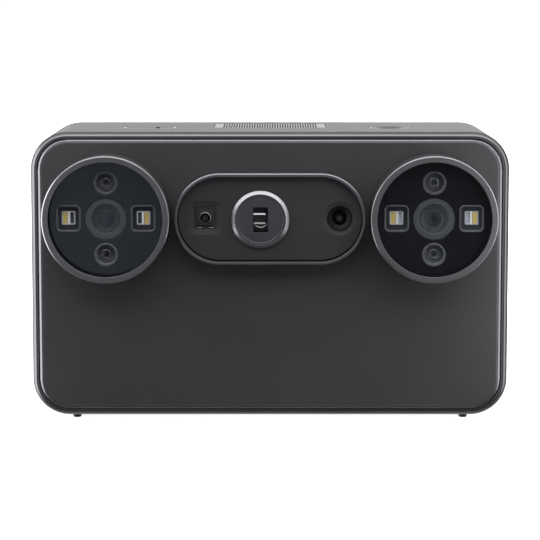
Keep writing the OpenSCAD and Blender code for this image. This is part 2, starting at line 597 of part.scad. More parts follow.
module screws() color([0.62, 0.62, 0.64]) {
  for (s = [-1, 1]) {
    for (b = boss) screw_y(s * b[0], y_b1, zc + b[1], 7.5, -1);
    for (z = lug_z) screw_y(s * 53, y_b1 + 5, zc + z, 7.6, -1);
    for (k = [-1, 1]) {
      screw_y(s * pod_x + k * 9.3, -11, pz, 4.6, 1);
      translate([s * button_x + k * 9.6, by, bz - 1.2]) screw(5);
      translate([s * 9.8, fy + k * 10, fz]) screw(7.8);
    }
    translate([s * 19.2, fy, gz]) screw(2.8);
    screw_y(proj_x + s * 9.2, y_b0 - 1.5, prz, 4.2, 1);
    // countersunk rear cover screws
    for (z = [-26, 26]) difference() {
      union() {
        ycyl(s * 50, zc + z, 1.0, 19, 27.2);
        ycone(s * 50, zc + z, 1.0, 2.3, 27.15, 28.45);
      }
      translate([s * 50, 29, zc + z]) rotate([90, 0, 0]) cylinder(h = 1.3, r = 0.85, $fn = 6);
    }
  }
  for (p = cb) screw_y(p[0], -15, prz + p[1], 5.6, 1);
  for (p = so) screw_y(p[0], y_m1, p[1], 6, -1);
}

main_shell();
front_panel();
front_gasket();
rear_cover();
rear_seal();
left_bezel_ring();
right_bezel_ring();
left_cover_glass();
right_cover_glass();
left_mask_plate();
right_mask_plate();
left_light_board();
right_light_board();
shell_brackets();
clamp_sleeves();
left_lens_barrel();
right_lens_barrel();
left_lens_glass();
right_lens_glass();
left_lens_holder();
right_lens_holder();
left_camera_board();
right_camera_board();
image_sensors();
white_led_frames();
white_led_phosphors();
infrared_leds();
centre_trim();
centre_plate();
projector_bezel();
projector_face();
projector_lens();
projector_body();
colour_camera();
colour_camera_lens();
depth_camera();
depth_camera_lens();
centre_board();
optical_bench();
main_board();
board_chips();
board_standoffs();
heat_sink();
ribbon_cables();
fan_frame();
fan_stator();
fan_rotor();
fan_axle();
vent_grille();
power_button();
power_light_pipe();
power_plunger();
scan_button();
scan_plunger();
button_boards();
button_switches();
usb_socket();
tripod_bush();
foot_strips();
screws();
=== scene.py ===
"""Looks of the handheld optical scanner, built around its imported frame.

All lengths in the shape code are millimetres in the part's own frame: +X right, +Y rear, +Z up.
"""
import math

import bmesh
import bpy
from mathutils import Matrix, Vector


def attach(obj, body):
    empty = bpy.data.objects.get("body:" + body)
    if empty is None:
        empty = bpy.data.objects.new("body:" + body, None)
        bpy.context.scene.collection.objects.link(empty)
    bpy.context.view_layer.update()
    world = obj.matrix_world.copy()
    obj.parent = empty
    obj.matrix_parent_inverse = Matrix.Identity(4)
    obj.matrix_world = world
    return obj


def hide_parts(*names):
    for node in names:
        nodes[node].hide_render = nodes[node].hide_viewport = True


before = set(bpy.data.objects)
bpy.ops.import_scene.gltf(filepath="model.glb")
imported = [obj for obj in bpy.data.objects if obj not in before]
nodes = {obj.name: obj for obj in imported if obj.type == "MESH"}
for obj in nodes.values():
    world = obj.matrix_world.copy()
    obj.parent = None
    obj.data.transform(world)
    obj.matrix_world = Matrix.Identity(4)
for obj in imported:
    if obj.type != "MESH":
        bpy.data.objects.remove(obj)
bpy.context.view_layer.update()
MM = 0.001
scene = bpy.context.scene
scene.view_settings.view_transform = "Standard"
scene.view_settings.look = "None"

# ------------------------------------------------------------------ camera

cam_data = bpy.data.cameras.new("camera")
cam_data.sensor_width = 36.0
cam_data.lens = 153.896
cam_data.clip_start = 0.01
cam_data.clip_end = 50.0
cam = bpy.data.objects.new("camera", cam_data)
cam.location = (0.0, -0.593957, 0.108173)
cam.rotation_euler = (math.pi / 2 - 0.1209, 0.0, 0.0)
scene.collection.objects.link(cam)
scene.camera = cam

# ------------------------------------------------------------------ node helpers


class Tree:
    """Short way to write a node tree."""

    def __init__(self, tree):
        self.t = tree

    def new(self, kind, **props):
        n = self.t.nodes.new(kind)
        for k, v in props.items():
            setattr(n, k, v)
        return n

    def put(self, socket, value):
        if isinstance(value, bpy.types.NodeSocket):
            self.t.links.new(value, socket)
        else:
            socket.default_value = value

    def math(self, op, a, b=0.0, c=0.0, clamp=False):
        n = self.new("ShaderNodeMath", operation=op, use_clamp=clamp)
        for i, v in enumerate((a, b, c)):
            self.put(n.inputs[i], v)
        return n.outputs[0]

    def smooth(self, x, lo, hi, a=0.0, b=1.0):
        n = self.new("ShaderNodeMapRange", interpolation_type="SMOOTHSTEP")
        for name, v in zip(("Value", "From Min", "From Max", "To Min", "To Max"), (x, lo, hi, a, b)):
            self.put(n.inputs[name], v)
        return n.outputs["Result"]

    def linear(self, x, lo, hi, a=0.0, b=1.0):
        n = self.new("ShaderNodeMapRange")
        for name, v in zip(("Value", "From Min", "From Max", "To Min", "To Max"), (x, lo, hi, a, b)):
            self.put(n.inputs[name], v)
        return n.outputs["Result"]

    def window(self, x, lo, hi, soft):
        """1 inside lo to hi, 0 outside, with soft edges."""
        return self.math("MULTIPLY", self.smooth(x, lo - soft, lo + soft), self.smooth(x, hi - soft, hi + soft, 1.0, 0.0))


def material(name):
    m = bpy.data.materials.new(name)
    m.use_nodes = True
    t = Tree(m.node_tree)
    bsdf = m.node_tree.nodes["Principled BSDF"]
    return m, t, bsdf


def place(t, stretch=(1.0, 1.0, 1.0)):
    """The part's own coordinates in metres, optionally stretched."""
    c = t.new("ShaderNodeTexCoord").outputs["Object"]
    if stretch == (1.0, 1.0, 1.0):
        return c
    m = t.new("ShaderNodeMapping")
    t.put(m.inputs["Vector"], c)
    m.inputs["Scale"].default_value = stretch
    return m.outputs["Vector"]


def noise(t, where, scale, detail=3.0, rough=0.55):
    n = t.new("ShaderNodeTexNoise")
    t.put(n.inputs["Vector"], where)
    n.inputs["Scale"].default_value = scale
    n.inputs["Detail"].default_value = detail
    n.inputs["Roughness"].default_value = rough
    return n.outputs["Fac"]


def ramp(t, fac, stops):
    n = t.new("ShaderNodeValToRGB")
    cr = n.color_ramp
    while len(cr.elements) < len(stops):
        cr.elements.new(0.5)
    for e, (p, c) in zip(cr.elements, stops):
        e.position = p
        e.color = (*c, 1.0)
    t.put(n.inputs["Fac"], fac)
    return n.outputs["Color"]


def bump(t, height, strength, distance):
    n = t.new("ShaderNodeBump")
    n.inputs["Strength"].default_value = strength
    n.inputs["Distance"].default_value = distance
    t.put(n.inputs["Height"], height)
    return n.outputs["Normal"]


def painted_upper_shade(t, split, where):
    """Painted shade: a factor below 1 that darkens the colour in a band round the outline's corner centres, on its top
    side only.
    """
    ax = t.math("MAXIMUM", t.math("SUBTRACT", t.math("ABSOLUTE", split.outputs[0]), where[0]), 0.0)
    az = t.math("MAXIMUM", t.math("SUBTRACT", split.outputs[2], where[1]), 0.0)
    far = t.math("SQRT", t.math("MULTIPLY_ADD", ax, ax, t.math("MULTIPLY", az, az)))
    near = t.window(far, where[2], where[3], 4e-5)
    return t.linear(t.math("MULTIPLY", near, t.smooth(az, 0.55 * where[3], 0.90 * where[3])), 0.0, 1.0, 1.0, where[4])


def finish(name, dark, light, rough, metal=0.0, ior=1.5, grain=2600.0, depth=4e-6, blotch=60.0, stretch=(1.0, 1.0, 1.0), spec=0.5, coat=0.0, strength=0.35, cut=None, step=None, painted_side_light_shade=None, painted_edge_light_shade=None):
    """A solid surface: colour drifts between dark and light, roughness between its two values, with a fine grain in the
    bump. The optional step, side and edge masks paint highlight and shade into the colour.
    """
    m, t, b = material(name)
    at = place(t, stretch)
    fine = noise(t, at, grain, 4.0, 0.6)
    wide = noise(t, place(t), blotch, 4.0, 0.6)
    mix = t.math("MULTIPLY_ADD", fine, 0.45, t.math("MULTIPLY", wide, 0.55))
    colour = ramp(t, mix, [(0.30, dark), (0.70, light)])
    if step:
        # painted highlight: colour paler on the flat front-facing step at this depth, less so in a band along its top
        # side
        split = t.new("ShaderNodeSeparateXYZ")
        t.put(split.inputs[0], place(t))
        facing = t.new("ShaderNodeSeparateXYZ")
        t.put(facing.inputs[0], t.new("ShaderNodeNewGeometry").outputs["True Normal"])
        on = t.math("MULTIPLY", t.window(split.outputs[1], step[0] - 2e-4, step[0] + 2e-4, 3e-5), t.smooth(facing.outputs[1], -0.90, -0.98))
        on = t.math("MULTIPLY", on, t.smooth(split.outputs[2], 0.0035, 0.0075))
        gain = t.math("MULTIPLY_ADD", on, t.math("MULTIPLY_ADD", painted_upper_shade(t, split, step[2]), step[1], -1.0), 1.0)
        # painted shade: colour darker on the rim's lip above it, along its top side
        ahead = t.smooth(split.outputs[1], step[0] - 1.0e-4, step[0] - 1.5e-4)
        gain = t.math("MULTIPLY", gain, t.math("MULTIPLY_ADD", ahead, t.math("SUBTRACT", painted_upper_shade(t, split, step[3]), 1.0), 1.0))
        scaled = t.new("ShaderNodeVectorMath", operation="SCALE")
        t.put(scaled.inputs[0], colour)
        t.put(scaled.inputs["Scale"], gain)
        colour = scaled.outputs[0]
    if painted_side_light_shade:
        # painted shade and highlight: colour darker towards the middle of the object, brighter at its far sides
        split = t.new("ShaderNodeSeparateXYZ")
        t.put(split.inputs[0], place(t))
        scaled = t.new("ShaderNodeVectorMath", operation="SCALE")
        t.put(scaled.inputs[0], colour)
        side = t.math("ABSOLUTE", split.outputs[0])
        t.put(scaled.inputs["Scale"], t.math("MULTIPLY", t.smooth(side, painted_side_light_shade[0], painted_side_light_shade[1], painted_side_light_shade[2], 1.0), t.smooth(side, painted_side_light_shade[3], painted_side_light_shade[4], 1.0, painted_side_light_shade[5])))
        colour = scaled.outputs[0]
    if painted_edge_light_shade:
        # painted shade: colour darker in a band along the edge's top side; painted light: colour paler near the bottom
        split = t.new("ShaderNodeSeparateXYZ")
        t.put(split.inputs[0], place(t))
        scaled = t.new("ShaderNodeVectorMath", operation="SCALE")
        t.put(scaled.inputs[0], colour)
        t.put(scaled.inputs["Scale"], t.math("MULTIPLY", painted_upper_shade(t, split, painted_edge_light_shade[0]), t.smooth(split.outputs[2], painted_edge_light_shade[1][0], painted_edge_light_shade[1][1], painted_edge_light_shade[1][2], 1.0)))
        colour = scaled.outputs[0]
    t.put(b.inputs["Base Color"], colour)
    shine = t.linear(t.math("MULTIPLY_ADD", fine, 0.6, t.math("MULTIPLY", wide, 0.4)), 0.3, 0.7, rough[0], rough[1])
    if cut:
        # machined edge: smoother behind this plane
        split = t.new("ShaderNodeSeparateXYZ")
        t.put(split.inputs[0], place(t))
        on = t.math("MULTIPLY", t.smooth(split.outputs[1], cut[0], cut[0] + 4e-5), t.smooth(split.outputs[2], 0.0045, 0.0085))
        shine = t.math("MULTIPLY", shine, t.linear(on, 0.0, 1.0, 1.0, cut[1]))
    t.put(b.inputs["Roughness"], shine)
    b.inputs["Metallic"].default_value = metal
    b.inputs["IOR"].default_value = ior
    b.inputs["Specular IOR Level"].default_value = spec
    b.inputs["Coat Weight"].default_value = coat
    b.inputs["Coat Roughness"].default_value = 0.05
    t.put(b.inputs["Normal"], bump(t, fine, strength, depth))
    return m


def grey(v, tint=(0.0, 0.0, 0.0)):
    return (v + tint[0], v + tint[1], v + tint[2])


# ------------------------------------------------------------------ finishes

M = {}
# dark grey anodised aluminium of the case, with a fine bead-blasted grain; painted highlight on the groove's floor step
# and painted shade on the rim's lip above it
M["shell_finish"] = finish("shell_anodised_painted_step_light_shade", (0.099, 0.0960, 0.102), (0.117, 0.1140, 0.120), (0.30, 0.35), metal=1.0, grain=3200.0, depth=2e-6, blotch=45.0, step=(-0.01785, 1.75, (0.05072, 0.06357, 0.0005, 0.00772, 0.55), (0.05072, 0.06357, 0.0005, 0.00833, 0.30)))
# front panel and its cut edge: painted shade along the top edge, painted light along the bottom edge
M["panel_finish"] = finish("panel_satin_painted_edge_light_shade", (0.081, 0.0790, 0.0842), (0.094, 0.0920, 0.0972), (0.49, 0.53), metal=1.0, grain=3600.0, depth=2e-6, blotch=35.0, cut=(-0.01878, 0.5), painted_edge_light_shade=((0.05059, 0.06354, 0.00686, 0.00707, 0.36), (0.0030, 0.0043, 1.95)))
M["panel_cut"] = finish("panel_cut_edge_painted_light_shade", (0.106, 0.1035, 0.1105), (0.121, 0.1185, 0.1255), (0.24, 0.28), metal=1.0, grain=3600.0, depth=1e-6, blotch=35.0, painted_edge_light_shade=((0.05059, 0.06354, 0.0005, 0.00717, 0.56), (0.0034, 0.0060, 1.5)))
M["plate_finish"] = finish("centre_plate_dark", (0.071, 0.0705, 0.0745), (0.082, 0.0815, 0.0855), (0.46, 0.50), metal=1.0, grain=3600.0, depth=2e-6, blotch=60.0)
M["ring_metal"] = finish("ring_dark_metal", (0.154, 0.153, 0.163), (0.176, 0.175, 0.185), (0.43, 0.48), metal=1.0, grain=4200.0, depth=1.5e-6, blotch=90.0)
M["ring_wall"] = finish("ring_side_dark", (0.070, 0.0695, 0.074), (0.082, 0.0815, 0.086), (0.42, 0.48), metal=1.0, grain=4200.0, depth=1.5e-6, blotch=90.0)
M["ring_inside"] = finish("ring_inside_black", (0.012, 0.012, 0.013), (0.018, 0.018, 0.019), (0.45, 0.55), metal=0.0, grain=4200.0, depth=1.5e-6, blotch=90.0)
# the rings' cut edge carries painted shade on its sides towards the middle of the object and a painted highlight on its
# far sides
M["polished_edge"] = finish("ring_cut_edge_painted_side_light_shade", (0.145, 0.144, 0.151), (0.165, 0.164, 0.171), (0.22, 0.28), metal=1.0, grain=5200.0, depth=6e-7, blotch=120.0, painted_side_light_shade=(0.027, 0.038, 0.55, 0.050, 0.0545, 1.5))
M["bright_metal"] = finish("bright_satin_metal", (0.170, 0.168, 0.178), (0.194, 0.192, 0.202), (0.28, 0.34), metal=1.0, grain=4200.0, depth=8e-7, blotch=140.0)
M["grille_metal"] = finish("grille_silver", (0.465, 0.465, 0.465), (0.545, 0.545, 0.545), (0.26, 0.34), metal=1.0, grain=3000.0, depth=1.5e-6, blotch=120.0, stretch=(0.12, 1.0, 1.0))
M["bare_aluminium"] = finish("milled_aluminium", (0.62, 0.63, 0.64), (0.74, 0.75, 0.76), (0.30, 0.45), metal=1.0, grain=1800.0, depth=4e-6, blotch=90.0, stretch=(0.06, 1.0, 1.0))
M["lens_metal"] = finish("lens_barrel_grey", (0.042, 0.043, 0.048), (0.050, 0.051, 0.056), (0.28, 0.36), metal=0.0, grain=5200.0, depth=4e-7, blotch=160.0)
M["lens_step"] = finish("lens_step_grey", (0.026, 0.027, 0.031), (0.032, 0.033, 0.037), (0.24, 0.32), metal=0.0, grain=5200.0, depth=4e-7, blotch=160.0)
M["lens_core"] = finish("lens_core_grey", (0.018, 0.019, 0.022), (0.023, 0.024, 0.027), (0.16, 0.22), metal=0.0, grain=5200.0, depth=3e-7, blotch=160.0)
M["lens_pupil"] = finish("lens_pupil_dark", (0.011, 0.012, 0.014), (0.015, 0.016, 0.018), (0.14, 0.20), metal=0.0, grain=5200.0, depth=3e-7, blotch=160.0)
M["projector_face"] = finish("projector_face_grey", (0.090, 0.091, 0.099), (0.105, 0.106, 0.114), (0.45, 0.50), metal=1.0, grain=4600.0, depth=1e-6, blotch=160.0)
M["mask_black"] = finish("mask_black_gloss", (0.0044, 0.0047, 0.0054), (0.0056, 0.0059, 0.0067), (0.185, 0.200), metal=0.0, grain=500.0, depth=4e-8, blotch=110.0, strength=0.10)
M["mask_lip"] = finish("mask_lip_grey", (0.054, 0.054, 0.058), (0.066, 0.066, 0.070), (0.30, 0.38), metal=0.0, grain=4200.0, depth=5e-7, blotch=200.0)
M["black_plastic"] = finish("moulded_black_plastic", (0.010, 0.010, 0.011), (0.017, 0.017, 0.018), (0.42, 0.55), metal=0.0, grain=2400.0, depth=4e-6, blotch=130.0)
M["module_black"] = finish("camera_module_black", (0.010, 0.010, 0.012), (0.016, 0.016, 0.019), (0.45, 0.55), metal=0.0, grain=3600.0, depth=3e-6, blotch=600.0, spec=0.25)
M["button_finish"] = finish("button_dark_anodised", (0.104, 0.1025, 0.107), (0.122, 0.1205, 0.125), (0.24, 0.30), metal=1.0, grain=3600.0, depth=1.5e-6, blotch=120.0)
M["chip_black"] = finish("chip_epoxy", (0.014, 0.014, 0.015), (0.024, 0.024, 0.025), (0.50, 0.65), metal=0.0, grain=2600.0, depth=5e-6, blotch=300.0)
M["led_white"] = finish("led_package_grey", (0.32, 0.32, 0.325), (0.40, 0.40, 0.405), (0.38, 0.48), metal=0.0, grain=5200.0, depth=1e-6, blotch=500.0)
M["led_divider"] = finish("led_divider_white", (0.52, 0.495, 0.46), (0.60, 0.575, 0.54), (0.35, 0.45), metal=0.0, grain=5200.0, depth=1e-6, blotch=500.0)
M["led_phosphor"] = finish("led_phosphor_yellow", (0.385, 0.275, 0.060), (0.50, 0.365, 0.10), (0.45, 0.60), metal=0.0, grain=9000.0, depth=3e-6, blotch=1500.0)
M["led_cool"] = finish("led_die_cool", (0.28, 0.295, 0.34), (0.42, 0.435, 0.48), (0.30, 0.42), metal=0.0, grain=7000.0, depth=1e-6, blotch=900.0)
M["led_die_dark"] = finish("led_die_dark", (0.024, 0.026, 0.036), (0.034, 0.036, 0.048), (0.38, 0.48), metal=0.0, grain=7000.0, depth=1e-6, blotch=900.0)
M["well_wall"] = finish("light_well_grey", (0.095, 0.095, 0.100), (0.120, 0.120, 0.126), (0.45, 0.55), metal=0.0, grain=4200.0, depth=5e-7, blotch=200.0)
M["well_floor"] = finish("light_well_floor", (0.015, 0.0155, 0.018), (0.020, 0.0205, 0.023), (0.42, 0.50), metal=0.0, grain=4200.0, depth=5e-7, blotch=200.0, spec=0.3)
M["led_die"] = finish("infrared_die", (0.034, 0.034, 0.039), (0.044, 0.044, 0.050), (0.50, 0.60), metal=0.0, grain=7000.0, depth=1e-6, blotch=900.0, spec=0.2)
M["led_dark"] = finish("led_smoked_epoxy", (0.074, 0.074, 0.079), (0.094, 0.094, 0.100), (0.36, 0.44), metal=0.0, grain=5000.0, depth=8e-7, blotch=300.0)
M["led_cup"] = finish("led_cup_grey", (0.074, 0.074, 0.079), (0.094, 0.094, 0.100), (0.45, 0.55), metal=0.0, grain=7000.0, depth=1e-6, blotch=900.0)
M["ribbon"] = finish("ribbon_film", (0.55, 0.50, 0.40), (0.70, 0.66, 0.56), (0.35, 0.45), metal=0.0, grain=900.0, depth=8e-6, blotch=90.0, stretch=(1.0, 0.02, 1.0))
M["seal_rubber"] = finish("seal_rubber", (0.006, 0.006, 0.006), (0.011, 0.011, 0.011), (0.70, 0.85), metal=0.0, grain=2600.0, depth=6e-6, blotch=160.0)
M["foot_rubber"] = finish("foot_rubber", (0.016, 0.016, 0.017), (0.026, 0.026, 0.027), (0.62, 0.78), metal=0.0, grain=2200.0, depth=1e-5, blotch=200.0)
M["brass"] = finish("brass", (0.52, 0.38, 0.16), (0.66, 0.50, 0.24), (0.26, 0.38), metal=1.0, grain=2400.0, depth=3e-6, blotch=240.0)
M["copper"] = finish("copper_windings", (0.50, 0.20, 0.09), (0.72, 0.34, 0.18), (0.30, 0.42), metal=1.0, grain=3400.0, depth=2e-5, blotch=200.0, stretch=(1.0, 1.0, 0.1))
M["steel"] = finish("steel_plated", (0.44, 0.44, 0.45), (0.56, 0.56, 0.57), (0.24, 0.36), metal=1.0, grain=3000.0, depth=2e-6, blotch=220.0)
M["mirror"] = finish("slot_mirror", (0.150, 0.150, 0.158), (0.175, 0.175, 0.183), (0.20, 0.26), metal=1.0, grain=5200.0, depth=4e-7, blotch=300.0)
M["barrel_black"] = finish("camera_barrel_black", (0.006, 0.006, 0.0072), (0.010, 0.010, 0.0115), (0.42, 0.52), metal=0.0, grain=3600.0, depth=2e-6, blotch=600.0, spec=0.18)
M["iris_black"] = finish("lens_iris_black", (0.0010, 0.0010, 0.0012), (0.0018, 0.0018, 0.0021), (0.30, 0.38), metal=0.0, grain=3600.0, depth=5e-7, blotch=600.0, spec=0.08)
M["slot_dark"] = finish("projector_optic_dark", (0.012, 0.012, 0.014), (0.017, 0.017, 0.019), (0.24, 0.32), metal=0.0, grain=3600.0, depth=5e-7, blotch=600.0)
M["cut_bright"] = finish("button_pip_polished", (0.32, 0.32, 0.33), (0.38, 0.38, 0.39), (0.22, 0.28), metal=1.0, grain=5200.0, depth=5e-7, blotch=300.0)
M["gold"] = finish("contact_gold", (0.62, 0.43, 0.16), (0.74, 0.54, 0.24), (0.22, 0.32), metal=1.0, grain=5000.0, depth=1e-6, blotch=400.0)


def board_finish(name, one, two, track):
    """Solder mask with tracks showing through."""
    m, t, b = material(name)
    at = place(t)
    brick = t.new("ShaderNodeTexBrick", offset=0.5, squash=1.0)
    t.put(brick.inputs["Vector"], at)
    brick.inputs["Scale"].default_value = 420.0
    brick.inputs["Mortar Size"].default_value = 0.035
    brick.inputs["Mortar Smooth"].default_value = 0.2
    brick.inputs["Color1"].default_value = (*one, 1.0)
    brick.inputs["Color2"].default_value = (*two, 1.0)
    brick.inputs["Mortar"].default_value = (*track, 1.0)
    fine = noise(t, at, 2600.0)
    t.put(b.inputs["Base Color"], brick.outputs["Color"])
    t.put(b.inputs["Roughness"], t.linear(fine, 0.3, 0.7, 0.32, 0.45))
    t.put(b.inputs["Normal"], bump(t, t.math("MULTIPLY_ADD", fine, 0.15, brick.outputs["Fac"]), 0.4, 1.2e-5))
    return m




def screen_finish():
    """Fine black plain weave."""
    m, t, b = material("dust_screen_weave")
    split = t.new("ShaderNodeSeparateXYZ")
    t.put(split.inputs[0], place(t))
    warp = t.math("SINE", t.math("MULTIPLY", split.outputs[0], 9000.0))
    weft = t.math("SINE", t.math("MULTIPLY", split.outputs[2], 9000.0))
    weave = t.linear(t.math("MULTIPLY", warp, weft), -1.0, 1.0)
    t.put(b.inputs["Base Color"], ramp(t, weave, [(0.2, (0.005, 0.005, 0.005)), (0.8, (0.013, 0.013, 0.014))]))
    t.put(b.inputs["Roughness"], t.linear(weave, 0.0, 1.0, 0.85, 0.65))
    t.put(b.inputs["Normal"], bump(t, weave, 0.6, 6e-5))
    return m


M["screen_cloth"] = screen_finish()
M["circuit_board"] = board_finish("circuit_board_green", (0.010, 0.060, 0.028), (0.013, 0.072, 0.034), (0.030, 0.120, 0.055))
M["board_black"] = board_finish("circuit_board_dark", (0.085, 0.085, 0.092), (0.100, 0.100, 0.107), (0.130, 0.130, 0.138))


def clear(name, tint, ior, roughness, strength=1.0, less=0.0):
    """Clear cover: lets light straight through and mirrors by its angle."""
    m, t, b = material(name)
    m.node_tree.nodes.remove(b)
    out = m.node_tree.nodes["Material Output"]
    see = t.new("ShaderNodeBsdfTransparent")
    see.inputs["Color"].default_value = (*tint, 1.0)
    shine = t.new("ShaderNodeBsdfGlossy")
    shine.inputs["Color"].default_value = (0.92 * strength, 0.96 * strength, 1.0 * strength, 1.0)
    shine.inputs["Roughness"].default_value = roughness
    fres = t.new("ShaderNodeFresnel")
    fres.inputs["IOR"].default_value = ior
    mix = t.new("ShaderNodeMixShader")
    inside = t.new("ShaderNodeNewGeometry").outputs["Backfacing"]
    amount = t.math("SUBTRACT", fres.outputs["Fac"], less, clamp=True)
    t.put(mix.inputs["Fac"], t.math("MULTIPLY", amount, t.math("SUBTRACT", 1.0, inside)))
    t.put(mix.inputs[1], see.outputs["BSDF"])
    t.put(mix.inputs[2], shine.outputs["BSDF"])
    t.put(out.inputs["Surface"], mix.outputs["Shader"])
    return m


M["window_glass"] = clear("window_glass", (0.93, 0.94, 0.96), 1.30, 0.05, less=0.060)
M["window_back"] = clear("window_glass_coated", (0.96, 0.97, 0.98), 1.08, 0.05, less=0.030)
M["epoxy_clear"] = clear("epoxy_smoked_clear", (0.90, 0.90, 0.92), 1.32, 0.06)
M["lens_front"] = clear("lens_glass_coated", (0.70, 0.70, 0.74), 1.35, 0.03)


def lens_finish():
    """Black glass look of a coated lens: dark body under a clear coat, faint tint that drifts."""
    m, t, b = material("lens_glass")
    wide = noise(t, place(t), 220.0, 2.0)
    t.put(b.inputs["Base Color"], ramp(t, wide, [(0.3, (0.003, 0.003, 0.004)), (0.7, (0.005, 0.005, 0.007))]))
    t.put(b.inputs["Roughness"], t.linear(wide, 0.3, 0.7, 0.06, 0.10))
    b.inputs["IOR"].default_value = 1.40
    b.inputs["Coat Weight"].default_value = 0.1
    b.inputs["Coat Roughness"].default_value = 0.03
    b.inputs["Coat Tint"].default_value = (0.75, 0.80, 1.0, 1.0)
    return m


M["lens_glass"] = lens_finish()

for node_name, obj in nodes.items():
    slot_name = obj.data.materials[0].name.split(".")[0] if obj.data.materials else ""
    if slot_name in M:
        obj.data.materials[0] = M[slot_name]
for node_name in ("left_light_board", "right_light_board"):
    nodes[node_name].data.materials[0] = M["board_black"]

# ------------------------------------------------------------------ shape helpers


def circle(r, n=96):
    return [(r * math.cos(2 * math.pi * i / n), r * math.sin(2 * math.pi * i / n)) for i in range(n)]


def rrect(w, h, r, n=8):
    r = max(min(r, w, h), 0.002)
    pts = []
    for cx, cy, a0 in ((w - r, h - r, 0), (r - w, h - r, 90), (r - w, r - h, 180), (w - r, r - h, 270)):
        for k in range(n + 1):
            a = math.radians(a0 + 90 * k / n)
            pts.append((cx + r * math.cos(a), cy + r * math.sin(a)))
    return pts


def oval(l, h, n=40):
    r = h / 2
    c = l / 2 - r
    pts = []
    for cx, a0 in ((c, -90), (-c, 90)):
        for k in range(n + 1):
            a = math.radians(a0 + 180 * k / n)
            pts.append((cx + r * math.cos(a), r * math.sin(a)))
    return pts


def rounded(pts, closed=True, step=14.0):
    """Profile with its corners rounded. A point is (a, b) or (a, b, radius)."""
    out = []
    n = len(pts)
    for i, p in enumerate(pts):
        r = p[2] if len(p) > 2 else 0.0
        if r <= 0 or (not closed and i in (0, n - 1)):
            out.append((p[0], p[1]))
            continue
        b = Vector(p[:2])
        u = Vector(pts[i - 1][:2]) - b
        v = Vector(pts[(i + 1) % n][:2]) - b
        half = u.angle(v) / 2
        t = min(r / math.tan(half), 0.49 * u.length, 0.49 * v.length)
        r = t * math.tan(half)
        u.normalize()
        v.normalize()
        c = b + (u + v).normalized() * (r / math.sin(half))
        s, e = b + u * t - c, b + v * t - c
        a0 = math.atan2(s.y, s.x)
        da = math.atan2(e.y, e.x) - a0
        da = (da + math.pi) % (2 * math.pi) - math.pi
        k = max(2, math.ceil(abs(math.degrees(da)) / step))
        out += [(c.x + r * math.cos(a0 + da * j / k), c.y + r * math.sin(a0 + da * j / k)) for j in range(k + 1)]
    return out


class Piece:
    """Closed mesh made of loops. Along 'y', an outline lies in X and Z; along 'z', in X and Y."""

    def __init__(self, axis="y", at=(0.0, 0.0, 0.0)):
        self.bm = bmesh.new()
        self.axis = axis
        self.at = at

    def point(self, u, v, w):
        x, y, z = self.at
        return Vector((x + u, y + w, z + v)) * MM if self.axis == "y" else Vector((x + u, y + v, z + w)) * MM

    def loop(self, outline, w, du=0.0, dv=0.0):
        return [self.bm.verts.new(self.point(u + du, v + dv, w)) for u, v in outline]

    def face(self, verts, m=0):
        f = self.bm.faces.new(verts)
        f.material_index = m
        f.smooth = True
        return f

    def skin(self, a, b, m=0):
        n = len(a)
        for i in range(n):
            j = (i + 1) % n
            self.face((a[i], a[j], b[j], b[i]), m)

    def run(self, outline, profile, du=0.0, dv=0.0, m=0, pick=None, close=False):
        """Loops of outline(profile's first number) at its second number, skinned in order. Returns the first and last loop."""
        loops = [self.loop(outline(p[0]), p[1], du, dv) for p in profile]
        for i in range(len(loops) if close else len(loops) - 1):
            j = (i + 1) % len(loops)
            mid = ((profile[i][0] + profile[j][0]) / 2, (profile[i][1] + profile[j][1]) / 2)
            self.skin(loops[i], loops[j], pick(*mid) if pick else m)
        return loops[0], loops[-1]

    def cap(self, loop, m=0):
        self.face(loop, m)

    def fill(self, loops, m=0):
        """Flat region bounded by the first loop, with the other loops as holes."""
        edges = []
        for lp in loops:
            for i, v in enumerate(lp):
                w = lp[(i + 1) % len(lp)]
                edges.append(self.bm.edges.get((v, w)) or self.bm.edges.new((v, w)))
        made = bmesh.ops.triangle_fill(self.bm, use_beauty=True, use_dissolve=False, edges=edges)
        for g in made["geom"]:
            if isinstance(g, bmesh.types.BMFace):
                g.material_index = m
                g.smooth = True

    def block(self, w, h, r, w0, w1, du=0.0, dv=0.0, soft=0.05, m=0):
        """Rounded block with soft edges."""
        prof = rounded([(soft, w0), (0.0, w0, soft), (0.0, w1, soft), (soft, w1)], closed=False)
        prof[0], prof[-1] = (soft * 1.02, w0), (soft * 1.02, w1)
        a, b = self.run(lambda d: rrect(w - d, h - d, max(r - d, 0.01)), prof, du, dv, m)
        self.cap(a, m)
        self.cap(b, m)

    def done(self, name, mats, body="casing", stands_for=(), angle=32.0):
        bm = self.bm
        bmesh.ops.recalc_face_normals(bm, faces=bm.faces[:])
        me = bpy.data.meshes.new(name)
        bm.to_mesh(me)
        bm.free()
        for x in mats:
            me.materials.append(M[x])
        me.set_sharp_from_angle(angle=math.radians(angle))
        ob = bpy.data.objects.new(name, me)
        scene.collection.objects.link(ob)
        wn = ob.modifiers.new("even_normals", "WEIGHTED_NORMAL")
        wn.keep_sharp = True
        wn.weight = 50
        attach(ob, body)
        if stands_for:
            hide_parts(*stands_for)
        return ob


# ------------------------------------------------------------------ places taken from the frame's design

PX, PZ = 40.6, 51.85  # camera pods
Y_POD = -28.8
Y_GLASS0, Y_GLASS1 = -28.2, -26.7
Y_MASK, Y_LIGHT = -25.8, -23.9
WX, IZ = 9.3, 8.9
LED_UP = 0.08
TZ = 51.71
Y_TRIM, Y_PLATE, Y_PLATE_BACK = -23.8, -22.3, -20.3
PROJ = (-2.40, 51.38)
COLOUR = (-16.15, 51.72)
DEPTH = (17.34, 51.58)
Z_TOP, Z_IN = 72.85, 70.05

# ------------------------------------------------------------------ camera pods

